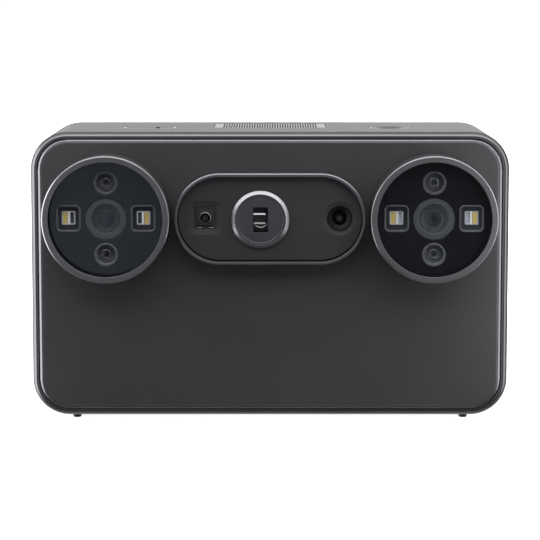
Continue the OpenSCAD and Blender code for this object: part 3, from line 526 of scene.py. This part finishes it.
for side, s in (("left", -1), ("right", 1)):
    at = (s * PX, 0.0, PZ)

    # bezel ring with its cut edge
    p = Piece("y", at)
    prof = rounded([
        (15.78, -16.8), (15.78, -28.50, 0.12), (15.50, -28.80, 0.12), (14.26, -28.80, 0.05),
        (14.18, -28.72, 0.04), (14.18, -28.2), (14.75, -28.2), (14.75, -15.4), (16.3, -15.4), (16.3, -16.8)])

    def ring_part(r, y):
        if y < -28.40 and r > 15.40:
            return 1
        if r < 14.25:
            return 2
        return 3 if r > 15.77 else 0

    p.run(lambda r: circle(r, 180), prof, pick=ring_part, close=True)
    p.done(f"{side}_bezel_ring_turned", ["ring_metal", "polished_edge", "ring_inside", "ring_wall"], stands_for=[f"{side}_bezel_ring"])

    # cover glass, dark on its ground edge
    p = Piece("y", at)
    prof = rounded([(14.5, Y_GLASS0), (14.7, Y_GLASS0, 0.12), (14.7, Y_GLASS1, 0.12), (14.5, Y_GLASS1)], closed=False)
    a, b = p.run(lambda r: circle(r, 144), prof, m=2)
    p.cap(a, 0)
    p.cap(b, 1)
    p.done(f"{side}_cover_glass_clear", ["window_glass", "window_back", "mask_black"], stands_for=[f"{side}_cover_glass"])

    # mask plate with a bevelled lip round each light
    p = Piece("y", at)
    out_front, out_back = p.run(lambda r: circle(r, 144), [(14.65, Y_GLASS1), (14.65, Y_LIGHT)])
    in_front, in_floor = p.run(lambda r: circle(r, 144), [(14.15, Y_GLASS1), (14.15, Y_MASK)])
    p.fill([out_front, in_front])
    fronts, backs = [in_floor], [out_back]
    a, b = p.run(lambda r: circle(r, 96), rounded([(5.26, Y_MASK), (5.18, Y_MASK + 0.10, 0.04), (5.18, Y_LIGHT)], closed=False))
    fronts.append(a)
    backs.append(b)

    def lip(wide, crest=0.50):
        return rounded([(0.0, Y_MASK), (0.06, Y_MASK - 0.12, 0.05), (crest, Y_MASK - 0.12, 0.10), (wide, Y_MASK + 0.22, 0.08), (wide, Y_LIGHT)], closed=False)

    def lip_part(d, y):
        return 1 if y < Y_MASK + 0.26 else 2

    def well(d):
        return rrect(3.08 - d, 3.37 - d, 1.3 - d) if d < 0.8 else [(u, v + 0.10) for u, v in rrect(1.77, 1.75, 0.36)]

    # raised floor with a square hole for the light
    square = lip(0.54, 0.34)[:-1] + [(0.54, Y_LIGHT - 1.30), (0.9, Y_LIGHT - 1.26), (0.9, Y_LIGHT)]

    def well_part(d, y):
        return 3 if d > 0.6 else lip_part(d, y)

    for k in (-1, 1):
        a, b = p.run(well, square, du=k * WX, dv=LED_UP, pick=well_part)
        fronts.append(a)
        backs.append(b)
        a, b = p.run(lambda d: circle(2.96 - d, 72), lip(0.74), dv=k * IZ, pick=lip_part)
        fronts.append(a)
        backs.append(b)
    p.fill(fronts)
    p.fill(backs)
    p.done(f"{side}_mask_plate_lipped", ["mask_black", "mask_lip", "well_wall", "well_floor"], stands_for=[f"{side}_mask_plate"])

    # lens barrel
    p = Piece("y", at)
    prof = rounded([
        (2.6, -12.0), (4.0, -12.0), (4.0, -18.6), (5.13, -18.6), (5.13, -25.6, 0.05), (3.70, -25.6, 0.03), (3.60, -25.50, 0.03),
        (3.60, -23.0), (2.6, -23.0)])
    p.run(lambda r: circle(r, 128), prof, close=True)
    p.done(f"{side}_lens_barrel_turned", ["lens_metal"], stands_for=[f"{side}_lens_barrel"])

    # lens: stepped retainer, front element and pupil
    p = Piece("y", at)
    face = [(3.55, -23.2)] + rounded([(3.55, -25.42, 0.05), (2.95, -25.405), (2.90, -25.375), (2.12, -25.360, 0.03), (2.05, -25.335)], closed=False)
    dome = [(2.05 * math.cos(q), -25.335 - 0.12 * math.sin(q)) for q in [math.radians(v) for v in (0, 12, 25, 38, 50, 60, 68, 75, 81, 86)]]
    whole = face + dome[1:]

    def lens_part(r, y):
        return 0 if r > 2.05 else (1 if r > 0.80 else 2)

    a, b = p.run(lambda r: circle(r, 96), whole, pick=lens_part)
    p.cap(b, 2)
    p.cap(a, 0)
    p.done(f"{side}_lens_elements", ["lens_step", "lens_core", "lens_pupil"], stands_for=[f"{side}_lens_glass"])

# white lights: pale package with a yellow well outside and a second well inside
frames = Piece("y", (0.0, 0.0, PZ + LED_UP + 0.10))
fills = Piece("y", (0.0, 0.0, PZ + LED_UP + 0.10))
Y_LED = Y_LIGHT - 1.2
for s in (-1, 1):
    for k in (-1, 1):
        cx = s * PX + k * WX
        edge = rounded([(0.0, Y_LIGHT), (0.0, Y_LED, 0.10), (0.2, Y_LED)], closed=False)
        edge[-1] = (0.11, Y_LED)
        back, front = frames.run(lambda d: rrect(1.70 - d, 1.68 - d, 0.34 - d, 5), edge, du=cx)
        frames.cap(back, 0)
        tops = [front]
        for cw, w, h, tone in ((k * 0.79, 0.60, 1.45, 0), (-k * 0.91, 0.51, 1.44, 1 if s < 0 else 2)):
            well = rounded([(0.0, Y_LED), (0.04, Y_LED + 0.05, 0.02), (0.08, Y_LED + 0.45)], closed=False)
            a, b = frames.run(lambda d: rrect(w - d, h - d, 0.18 - d, 4), well, du=cx + cw)
            tops.append(a)
            frames.cap(b, tone)
        frames.fill(tops, 0)
        # pale bar between the wells
        frames.block(0.23, 1.53, 0.1, Y_LED - 0.03, Y_LED + 0.1, du=cx - k * 0.155, soft=0.02, m=3)
        top = [(0.10, Y_LED + 0.44), (0.06, Y_LED + 0.20), (0.09, Y_LED + 0.15), (0.18, Y_LED + 0.12), (0.34, Y_LED + 0.10)]
        a, b = fills.run(lambda d: rrect(0.60 - d, 1.45 - d, max(0.18 - d, 0.04), 4), top, du=cx + k * 0.79)
        fills.cap(a)
        fills.cap(b)
frames.done("white_light_packages", ["led_white", "led_die_dark", "led_cool", "led_divider"], stands_for=["white_led_frames"])
fills.done("white_light_fills", ["led_phosphor"], stands_for=["white_led_phosphors"])

# infrared lights: clear smoked dome over a small cup and die
leds = Piece("y", (0.0, 0.0, PZ))
for s in (-1, 1):
    for k in (-1, 1):
        du, dv = s * PX, k * IZ
        a, b = leds.run(lambda r: circle(r, 64), rounded([(2.0, Y_LIGHT), (2.1, Y_LIGHT - 0.1), (2.1, Y_LIGHT - 0.5, 0.1), (1.76, Y_LIGHT - 0.5)], closed=False), du, dv, m=0)
        leds.cap(a, 0)
        c0, c1 = leds.run(lambda r: circle(r, 64), rounded([(1.32, Y_LIGHT - 0.5), (1.22, Y_LIGHT - 0.58, 0.06), (1.00, Y_LIGHT - 0.58, 0.06), (0.55, Y_LIGHT - 0.2)], closed=False), du, dv, m=2)
        leds.fill([b, c0], 0)
        leds.cap(c1, 3)
        die0, die1 = leds.run(lambda d: rrect(0.24 - d, 0.24 - d, 0.02, 2), [(0.0, Y_LIGHT - 0.195), (0.0, Y_LIGHT - 0.33), (0.02, Y_LIGHT - 0.35)], du, dv, m=3)
        leds.cap(die0, 3)
        leds.cap(die1, 3)
        ball = [(1.7, Y_LIGHT - 0.505), (1.7, Y_LIGHT - 0.66)]
        ball += [(1.7 * math.cos(math.radians(q)), Y_LIGHT - 0.66 - 0.80 * math.sin(math.radians(q))) for q in (10, 20, 30, 40, 50, 60, 70, 80, 87)]
        d0, d1 = leds.run(lambda r: circle(r, 64), ball, du, dv, m=1)
        leds.cap(d1, 1)
        leds.cap(d0, 1)
leds.done("infrared_lights", ["led_dark", "epoxy_clear", "led_cup", "led_die"], stands_for=["infrared_leds"])

# ------------------------------------------------------------------ front panel

Y_FACE, Y_BACK = -18.8, -16.8
p = Piece("y", (0.0, 0.0, 36.93))
edge = [(0.0, Y_BACK), (0.0, Y_FACE + 0.60), (0.03, Y_FACE + 0.55), (0.38, Y_FACE + 0.205)]
edge += [(0.38 + 0.10 * i, Y_FACE + 0.20 * ((10 - i) / 10) ** 4.5) for i in range(1, 11)]
back, front = p.run(lambda d: rrect(58.04 - 1.25 * d, 34.06 - d, 7.45 - d, 24), edge, pick=lambda d, y: 1 if 0.02 < d < 0.40 else 0)
fronts, backs = [front], [back]
for s in (-1, 1):
    a, b = p.run(lambda r: circle(r, 180), [(15.83, Y_FACE), (15.83, Y_BACK)], s * PX, PZ - 36.93)
    fronts.append(a)
    backs.append(b)
a, b = p.run(lambda d: [(u, v - 0.17) for u, v in oval(47.9, 22.9, 56)], [(0.0, Y_FACE), (0.0, Y_BACK)], 0.0, TZ - 36.93)
fronts.append(a)
backs.append(b)
p.fill(fronts)
p.fill(backs)
# posts for its screws
for s in (-1, 1):
    for u, v in ((50.0, -25.0), (17.0, -25.0), (20.0, 29.2)):
        root, end = p.run(lambda r: circle(r, 40), [(2.6, Y_BACK - 0.2), (2.6, -9.0)], s * u, v + 0.07)
        bore, bottom = p.run(lambda r: circle(r, 40), [(0.95, -9.0), (0.95, -14.0)], s * u, v + 0.07)
        p.fill([end, bore])
        p.cap(root)
        p.cap(bottom)
p.done("front_panel_shaped", ["panel_finish", "panel_cut"], stands_for=["front_panel"], angle=25)

# ------------------------------------------------------------------ projector pod

p = Piece("y", (0.0, 0.0, TZ))
prof = rounded([
    (0.0, -15.4), (0.0, -23.56, 0.04), (0.24, -23.8, 0.04), (0.74, -23.8, 0.05), (0.82, -23.72, 0.05), (0.82, -20.3), (1.8, -20.3), (1.8, -15.4)])


def trim_outline(d):
    drop = 0.17 + 0.07 * max(0.0, min(1.0, (d - 0.3) / 0.4))
    return [(u, v - drop) for u, v in oval(47.8 - 2 * d, 22.8 - 2 * d, 56)]


p.run(trim_outline, prof, pick=lambda d, y: 1 if (d > 0.735 and y < -20.31) else (2 if d < 0.01 else 0), close=True)
for k in (-1, 1):
    p.block(12.0, 0.65, 0.3, -16.8, -15.4, dv=k * 12.15, soft=0.05)
p.done("centre_trim_shaped", ["ring_metal", "ring_inside", "ring_wall"], stands_for=["centre_trim"])

p = Piece("y", (0.0, 0.0, TZ))
rim_front, rim_back = p.run(lambda d: oval(45.8 - 2 * d, 21.0 - 2 * d, 56), [(0.08, Y_PLATE), (0.0, Y_PLATE + 0.08), (0.0, Y_PLATE_BACK)])
fronts, backs = [rim_front], [rim_back]
a, b = p.run(lambda r: circle(r, 96), [(6.65, Y_PLATE), (6.65, Y_PLATE_BACK)], PROJ[0], PROJ[1] - TZ)
fronts.append(a)
backs.append(b)
soft = []
for i in range(17):
    q = i / 16
    soft.append((1.42 * q, Y_PLATE + 0.13 * (q * q * (3 - 2 * q))))
soft += [(1.50, Y_PLATE + 0.17), (1.52, Y_PLATE + 0.42), (1.52, Y_PLATE_BACK)]
a, b = p.run(lambda d: rrect(4.33 - d, 4.45 - d, 1.95 - d * 0.9), soft, COLOUR[0], COLOUR[1] - TZ)
fronts.append(a)
backs.append(b)
sink = []
for i in range(17):
    q = i / 16
    sink.append((4.45 - 1.26 * q, Y_PLATE + 0.13 * (q * q * (3 - 2 * q))))
sink += [(3.15, Y_PLATE + 0.18), (3.15, Y_PLATE_BACK)]
a, b = p.run(lambda r: circle(r, 96), sink, DEPTH[0], DEPTH[1] - TZ)
fronts.append(a)
backs.append(b)
p.fill(fronts)
p.fill(backs)
p.done("centre_plate_shaped", ["plate_finish"], stands_for=["centre_plate"], angle=40)

p = Piece("y", (PROJ[0], 0.0, PROJ[1]))
prof = rounded([(6.27, -20.3), (6.6, -20.3), (6.6, -22.3), (7.20, -22.3), (7.20, -22.88, 0.06), (6.37, -23.45, 0.06), (6.27, -23.45, 0.04)])
p.run(lambda r: circle(r, 144), prof, close=True)
p.done("projector_bezel_turned", ["bright_metal"], stands_for=["projector_bezel"])

p = Piece("y", (PROJ[0], 0.0, PROJ[1]))
prof = rounded([(5.5, -23.33), (5.74, -23.33, 0.03), (5.82, -23.37, 0.03), (6.24, -23.37, 0.05), (6.24, -21.5)], closed=False)
front, back = p.run(lambda r: circle(r, 128), prof)
a, b = p.run(lambda d: rrect(1.87 - d, 3.19 - d, 0.06, 3), [(0.0, -23.33), (0.04, -23.29), (0.04, -21.5)], du=0.06, dv=-0.04, m=1)
p.fill([front, a])
p.fill([back, b])
p.done("projector_face_slotted", ["projector_face", "mask_black"], stands_for=["projector_face"])

# optics behind the slot: dark lens, two mirror bars and a bright rim below them
p = Piece("y", (PROJ[0], 0.0, PROJ[1]))
dome = [(5.6, -19.0), (5.6, -20.4)]
dome += [(5.6 * math.cos(math.radians(q)), -20.4 - 1.02 * math.sin(math.radians(q))) for q in (10, 22, 34, 46, 58, 70, 80, 87)]
a, b = p.run(lambda r: circle(r, 96), dome)
p.cap(a)
p.cap(b)
p.done("projector_lens_shaped", ["slot_dark"], stands_for=["projector_lens"])

p = Piece("y", (PROJ[0], 0.0, PROJ[1]))


def strip(x0, x1, z, half, y, lean):
    """Flat mirror bar along X whose face leans up by an angle."""
    c, n = math.cos(math.radians(lean)), math.sin(math.radians(lean))
    ends = []
    for x in (x0, x1):
        ring = []
        for a, d in ((-half, 0.0), (half, 0.0), (half, 0.22), (-half, 0.22)):
            ring.append(p.bm.verts.new(p.point(x, z + a * c - d * n, y + a * n + d * c)))
        ends.append(ring)
    p.skin(ends[0], ends[1])
    p.cap(ends[0])
    p.cap(ends[1])


strip(-1.68, 1.22, 1.42, 0.20, -22.75, 27.0)
strip(-1.60, 1.22, -0.87, 0.20, -22.75, 20.0)
arc = [math.radians(a) for a in range(212, 329, 4)]
rows = []
for r, y in ((1.90, -22.60), (1.79, -22.52), (1.79, -22.3), (1.90, -22.3)):
    rows.append([p.bm.verts.new(p.point(0.10 + r * math.cos(a), -0.06 + r * math.sin(a), y)) for a in arc])
for i in range(4):
    u, v = rows[i], rows[(i + 1) % 4]
    for j in range(len(arc) - 1):
        p.face((u[j], u[j + 1], v[j + 1], v[j]))
p.face([rows[i][0] for i in range(4)])
p.face([rows[i][-1] for i in range(4)])
p.done("projector_slot_optics", ["mirror"])

# colour camera: module, lens ring, glass
YC = Y_PLATE + 0.45
p = Piece("y", (COLOUR[0], 0.0, COLOUR[1]))
front, step = p.run(lambda d: rrect(2.74 - d, 2.88 - d, 0.5 - d * 0.5), [(0.02, YC - 0.28), (0.0, YC - 0.26), (0.0, -20.3)])
wide, back = p.run(lambda d: rrect(3.75 - d, 3.75 - d, 0.4), [(0.0, -20.3), (0.0, -15.0)])
p.fill([wide, step])
p.cap(back)
ring = rounded([(1.62, YC - 0.28), (1.54, YC - 0.32, 0.02), (1.42, YC - 0.34, 0.01), (1.32, YC - 0.41, 0.02), (1.25, YC - 0.41, 0.02), (1.14, YC + 0.1), (1.14, YC + 1.4)], closed=False)


def ring_tone(r, y):
    return 1 if (y < YC - 0.341 and r > 1.31) else 0


a, b = p.run(lambda r: circle(r, 72), ring, pick=ring_tone)
# narrow slit under the lens
g0, g1 = p.run(lambda d: rrect(2.1 - d, 0.13 - d * 0.5, 0.05, 3), [(0.0, YC - 0.28), (0.03, YC + 0.1)], dv=-2.02)
p.fill([front, a, g0])
p.cap(b)
p.cap(g1)
p.done("colour_camera_module", ["module_black", "ring_metal"], stands_for=["colour_camera"])
p = Piece("y", (COLOUR[0], 0.0, COLOUR[1]))
dome = [(1.12, YC + 1.3), (1.12, YC + 0.62)] + [(1.12 * math.cos(math.radians(q)), YC + 0.62 - 0.42 * math.sin(math.radians(q))) for q in (12, 26, 40, 54, 68, 80, 87)]
a, b = p.run(lambda r: circle(r, 64), dome, pick=lambda r, y: 1 if r < 0.85 else 0)
p.cap(a)
p.cap(b, 1)
p.done("colour_camera_glass", ["iris_black", "lens_core"], stands_for=["colour_camera_lens"])
p = Piece("y", (COLOUR[0], 0.0, COLOUR[1]))
for x0, x1 in ((-1.95, -0.72), (0.95, 2.1)):
    ends = []
    for x in (x0, x1):
        ends.append([p.bm.verts.new(p.point(x, z, y)) for z, y in ((-2.48, YC - 0.36), (-2.30, YC - 0.29), (-2.30, YC - 0.2), (-2.48, YC - 0.2))])
    p.skin(ends[0], ends[1])
    p.cap(ends[0])
    p.cap(ends[1])
p.done("colour_camera_tabs", ["panel_finish"])

# depth camera: stepped black barrel and its glass
YD = Y_PLATE + 0.6
p = Piece("y", (DEPTH[0], 0.0, DEPTH[1]))
prof = rounded([(1.75, -15.0), (4.2, -15.0), (4.2, -20.3), (3.1, -20.3), (3.1, YD, 0.08), (2.62, YD, 0.06), (2.46, YD + 0.24), (2.30, YD + 0.24, 0.04), (1.75, YD + 0.9)])
p.run(lambda r: circle(r, 96), prof, close=True)
p.done("depth_camera_barrel", ["barrel_black"], stands_for=["depth_camera"])
p = Piece("y", (DEPTH[0], 0.0, DEPTH[1]))
dome = [(1.7, YD + 2.8), (1.7, YD + 1.2)] + [(1.7 * math.cos(math.radians(q)), YD + 1.2 - 0.22 * math.sin(math.radians(q))) for q in (12, 26, 40, 50, 58, 66, 76, 87)]
a, b = p.run(lambda r: circle(r, 64), dome, pick=lambda r, y: 1 if r < 0.72 else 0)
p.cap(a)
p.cap(b, 1)
p.done("depth_camera_glass", ["iris_black", "slot_dark"], stands_for=["depth_camera_lens"])

# ------------------------------------------------------------------ buttons

CAP = Z_TOP - 0.04  # tops of the buttons, just below the case
p = Piece("z", (-30.8, 1.0, 0.0))
side_prof = [(0.07, CAP), (0.05, CAP), (0.0, CAP - 0.05), (0.0, 69.95)] + rounded([(0.0, 69.95), (-0.8, 69.95, 0.1), (-0.8, 69.15)], closed=False)[1:]


def pips(p, places, r):
    """Small polished domes on a button top."""
    for du in places:
        dome = [(r * math.cos(math.radians(q)), CAP - 0.03 + 0.25 * math.sin(math.radians(q))) for q in (0, 12, 24, 36, 48, 60, 72, 84)]
        a, b = p.run(lambda r: circle(r, 32), [(r, CAP - 0.3)] + dome, du=du, m=1)
        p.cap(a, 1)
        p.cap(b, 1)


top, bottom = p.run(lambda d: oval(13.7 - 2 * d, 5.2 - 2 * d, 28), side_prof)
pips(p, (-6.39, 6.39), 0.42)
hole_top, hole_bottom = p.run(lambda r: circle(r, 40), [(0.50, CAP), (0.5, 69.15)], du=2.0)
stem_top, stem_end = p.run(lambda r: circle(r, 48), [(1.3, 69.15), (1.3, 67.98), (1.22, 67.9)])
p.fill([top, hole_top])
p.fill([bottom, hole_bottom, stem_top])
p.cap(stem_end)
p.done("power_button_cap", ["button_finish", "cut_bright"], body="power_key", stands_for=["power_button"])

p = Piece("z", (-28.8, 1.0, 0.0))
tip = [(0.49 * math.cos(math.radians(q)), CAP - 0.02 + 0.29 * math.sin(math.radians(q))) for q in (0, 15, 30, 45, 60, 75, 86)]
a, b = p.run(lambda r: circle(r, 40), [(0.45, 69.15), (0.49, CAP - 0.2)] + tip)
p.cap(a)
p.cap(b)
p.done("power_light_pipe_rod", ["barrel_black"], body="power_key", stands_for=["power_light_pipe"])

p = Piece("z", (30.8, 1.0, 0.0))
dish = []
for i in range(1, 15):
    r = 3.4 * i / 14
    dish.append((r, CAP + math.sqrt(9.2 ** 2 - 3.4 ** 2) - math.sqrt(9.2 ** 2 - r * r)))
prof = dish + [(3.44, CAP), (5.18, CAP), (5.20, CAP), (5.25, CAP - 0.05), (5.25, 69.95)] + rounded([(5.25, 69.95), (6.05, 69.95, 0.1), (6.05, 69.15), (1.3, 69.15), (1.3, 67.98), (1.2, 67.9)], closed=False)[1:]


a, b = p.run(lambda r: circle(r, 96), prof)
pips(p, (-4.85, 4.85), 0.30)
p.cap(a)
p.cap(b)
p.done("scan_button_cap", ["button_finish", "cut_bright"], body="scan_key", stands_for=["scan_button"], angle=12)

# ------------------------------------------------------------------ underside

p = Piece("z")
for s in (-1, 1):
    prof = rounded([(0.5, 0.0), (0.0, 0.0, 0.32), (0.0, 1.55)], closed=False)
    prof[0] = (0.34, 0.0)
    a, b = p.run(lambda d: [(v, u) for u, v in oval(29.8 - 2 * d, 2.05 - 2 * d, 16)], prof, du=s * 49.15, dv=0.3)
    p.cap(a)
    p.cap(b)
p.done("foot_strips_rounded", ["foot_rubber"], stands_for=["foot_strips"])

# tripod bush with a cut thread
p = Piece("z", (0.0, 5.0, 0.0))
prof = rounded([(5.8, 1.15), (6.0, 1.15, 0.12), (6.0, 2.15), (4.8, 2.15), (4.8, 9.55)], closed=False)
rim, back = p.run(lambda r: circle(r, 96), prof)
p.cap(back)
N, PITCH = 96, 1.27
rows = []
z = 1.15
zs = [1.15 + 0.07 * i for i in range(101)]
mouth = [p.bm.verts.new(p.point(3.42 * math.cos(2 * math.pi * i / N), 3.42 * math.sin(2 * math.pi * i / N), 1.15)) for i in range(N)]
p.fill([rim, mouth])
last = mouth
for z in [1.45 + PITCH / 14 * i for i in range(int((8.05 - 1.45) / (PITCH / 14)) + 1)]:
    row = []
    for i in range(N):
        ph = ((z / PITCH) - i / N) % 1.0
        tri = 1.0 - abs(2.0 * ph - 1.0)
        depth_now = 0.62 * max(0.0, min(1.0, (tri - 0.12) / 0.76))
        fade = max(0.0, min(1.0, (7.9 - z) / 0.9))
        r = 2.55 + depth_now * fade
        row.append(p.bm.verts.new(p.point(r * math.cos(2 * math.pi * i / N), r * math.sin(2 * math.pi * i / N), z)))
    p.skin(last, row)
    last = row
p.cap(last)
p.done("tripod_bush_threaded", ["brass"], stands_for=["tripod_bush"], angle=60)

# ------------------------------------------------------------------ rear socket

p = Piece("y", (0.0, 0.0, 13.0))
mouth = rounded([(0.0, 17.6), (0.0, 28.5, 0.08), (0.3, 28.5, 0.08), (0.3, 20.0)], closed=False)
a, b = p.run(lambda d: oval(8.94 - 2 * d, 3.2 - 2 * d, 20), mouth)
p.cap(a)
p.cap(b)
p.block(3.35, 0.35, 0.2, 20.0, 27.4, soft=0.08, m=1)
p.done("usb_socket_shell", ["steel", "black_plastic"], stands_for=["usb_socket"])
p = Piece("y", (0.0, 0.0, 13.0))
for k in (-1, 1):
    for i in range(12):
        p.block(0.13, 0.02, 0.01, 21.5, 26.9, du=(i - 5.5) * 0.5, dv=k * 0.362, soft=0.008)
p.done("usb_contacts", ["gold"])

# woven dust screen inside the air slots
p = Piece("y", (0.0, 0.0, 47.0))
p.block(18.0, 7.9, 1.2, 26.22, 26.56, soft=0.06)
p.done("rear_dust_screen", ["screen_cloth"])

# ------------------------------------------------------------------ floor, world

floor_m, ft, fb = material("floor_pale")
at = place(ft)
ft.put(fb.inputs["Base Color"], ramp(ft, noise(ft, at, 14.0, 3.0), [(0.3, (0.86, 0.86, 0.86)), (0.7, (0.90, 0.90, 0.90))]))
fb.inputs["Roughness"].default_value = 0.8
fb.inputs["Emission Color"].default_value = (1.0, 1.0, 1.0, 1.0)
fb.inputs["Emission Strength"].default_value = 0.92
bm = bmesh.new()
bmesh.ops.create_circle(bm, cap_ends=True, radius=3.0, segments=96)
floor_me = bpy.data.meshes.new("floor")
bm.to_mesh(floor_me)
bm.free()
floor_me.materials.append(floor_m)
floor = bpy.data.objects.new("floor", floor_me)
scene.collection.objects.link(floor)
floor.visible_glossy = False
floor.visible_diffuse = False

world = bpy.data.worlds.new("studio")
scene.world = world
world.use_nodes = True
wt = Tree(world.node_tree)
bg = world.node_tree.nodes["Background"]
ray = wt.new("ShaderNodeTexCoord").outputs["Generated"]
xyz = wt.new("ShaderNodeSeparateXYZ")
wt.put(xyz.inputs[0], ray)
dx, dy, dz = xyz.outputs
front = wt.math("MULTIPLY", dy, -1.0)
phi = wt.math("ARCTAN2", dz, front)  # 0 front, pi/2 up, pi rear
turn = wt.math("ARCTAN2", dx, front)  # 0 front, pi/2 right, -pi/2 left
rad = math.radians


def lobe(value, *windows):
    out = None
    for w in windows:
        out = w if out is None else wt.math("MULTIPLY", out, w)
    return wt.math("MULTIPLY", out, value)


left_glow = lobe(0.72, wt.window(dx, -0.17, -0.025, 0.02), wt.window(dz, -0.28, 0.05, 0.08), wt.smooth(front, 0.6, 0.8))
glows = [
    # overhead softbox, in front of and above the object
    lobe(4.4, wt.window(phi, rad(35), rad(94), rad(5)), wt.window(dx, -0.82, 0.82, 0.14)),
    # tall light on the left, with a weaker skirt towards the front
    lobe(5.6, wt.window(turn, rad(-101), rad(-72), rad(5)), wt.window(dz, -0.55, 0.50, 0.12)),
    lobe(2.6, wt.window(turn, rad(-128), rad(-100), rad(6)), wt.window(dz, -0.55, 0.50, 0.12)),
    lobe(1.08, wt.window(turn, rad(-80), rad(-48), rad(12)), wt.window(dz, -0.55, 0.50, 0.12)),
    # narrower light on the right
    lobe(4.5, wt.window(turn, rad(75), rad(96), rad(5)), wt.window(dz, -0.45, 0.45, 0.12)),
    lobe(0.62, wt.window(turn, rad(48), rad(80), rad(12)), wt.window(dz, -0.45, 0.45, 0.12)),
    # card above and behind, and the backdrop
    lobe(0.62, wt.window(phi, rad(95), rad(152), rad(6)), wt.window(dx, -0.8, 0.8, 0.1)),
    lobe(0.70, wt.smooth(dy, 0.80, 0.97), wt.window(dz, -0.30, 0.30, 0.10)),
    # light table below, brighter towards the rear
    lobe(0.20, wt.smooth(dz, -0.25, -0.70), wt.smooth(front, 0.42, -0.08)),
    lobe(0.36, wt.smooth(dz, 0.05, -0.30), wt.smooth(dy, 0.05, 0.50)),
    # low fill straight below
    lobe(0.15, wt.window(phi, rad(-122), rad(-92), rad(8)), wt.window(dx, -0.8, 0.8, 0.1)),
    # backdrop a little brighter on the right
    lobe(0.055, wt.smooth(dx, 0.0, 0.08), wt.smooth(dy, 0.80, 0.97), wt.window(dz, -0.05, 0.30, 0.05)),
    left_glow,
]
# the camera side is dim
acc = wt.math("SUBTRACT", 0.24, lobe(0.15, wt.smooth(front, 0.20, 0.70)))
for x in glows:
    acc = wt.math("ADD", acc, x)
cam_ray = wt.new("ShaderNodeLightPath").outputs["Is Camera Ray"]
mixed = wt.math("ADD", wt.math("MULTIPLY", acc, wt.math("SUBTRACT", 1.0, cam_ray)), wt.math("MULTIPLY", cam_ray, 1.05))
tint = wt.new("ShaderNodeCombineColor")
keep = wt.math("SUBTRACT", 1.0, cam_ray)
wt.put(tint.inputs[0], wt.math("SUBTRACT", mixed, wt.math("MULTIPLY", wt.math("MULTIPLY", left_glow, keep), 0.10)))
wt.put(tint.inputs[1], mixed)
wt.put(tint.inputs[2], wt.math("ADD", mixed, wt.math("MULTIPLY", wt.math("MULTIPLY", left_glow, keep), 0.16)))
wt.put(bg.inputs["Color"], tint.outputs[0])
bg.inputs["Strength"].default_value = 1.0


def area(name, where, aim, size, power):
    data = bpy.data.lights.new(name, "AREA")
    data.shape = "RECTANGLE"
    data.size, data.size_y = size
    data.energy = power
    ob = bpy.data.objects.new(name, data)
    ob.location = where
    ob.rotation_euler = (Vector(aim) - Vector(where)).to_track_quat("-Z", "Y").to_euler()
    ob.visible_camera = False
    scene.collection.objects.link(ob)
    return ob


area("strip_right", (0.086, -0.072, 0.038), (0.057, -0.02, 0.036), (0.015, 0.11), 0.027)
area("strip_left", (-0.090, -0.080, 0.038), (-0.057, -0.02, 0.036), (0.015, 0.11), 0.006)

scene.cycles.use_denoising = True
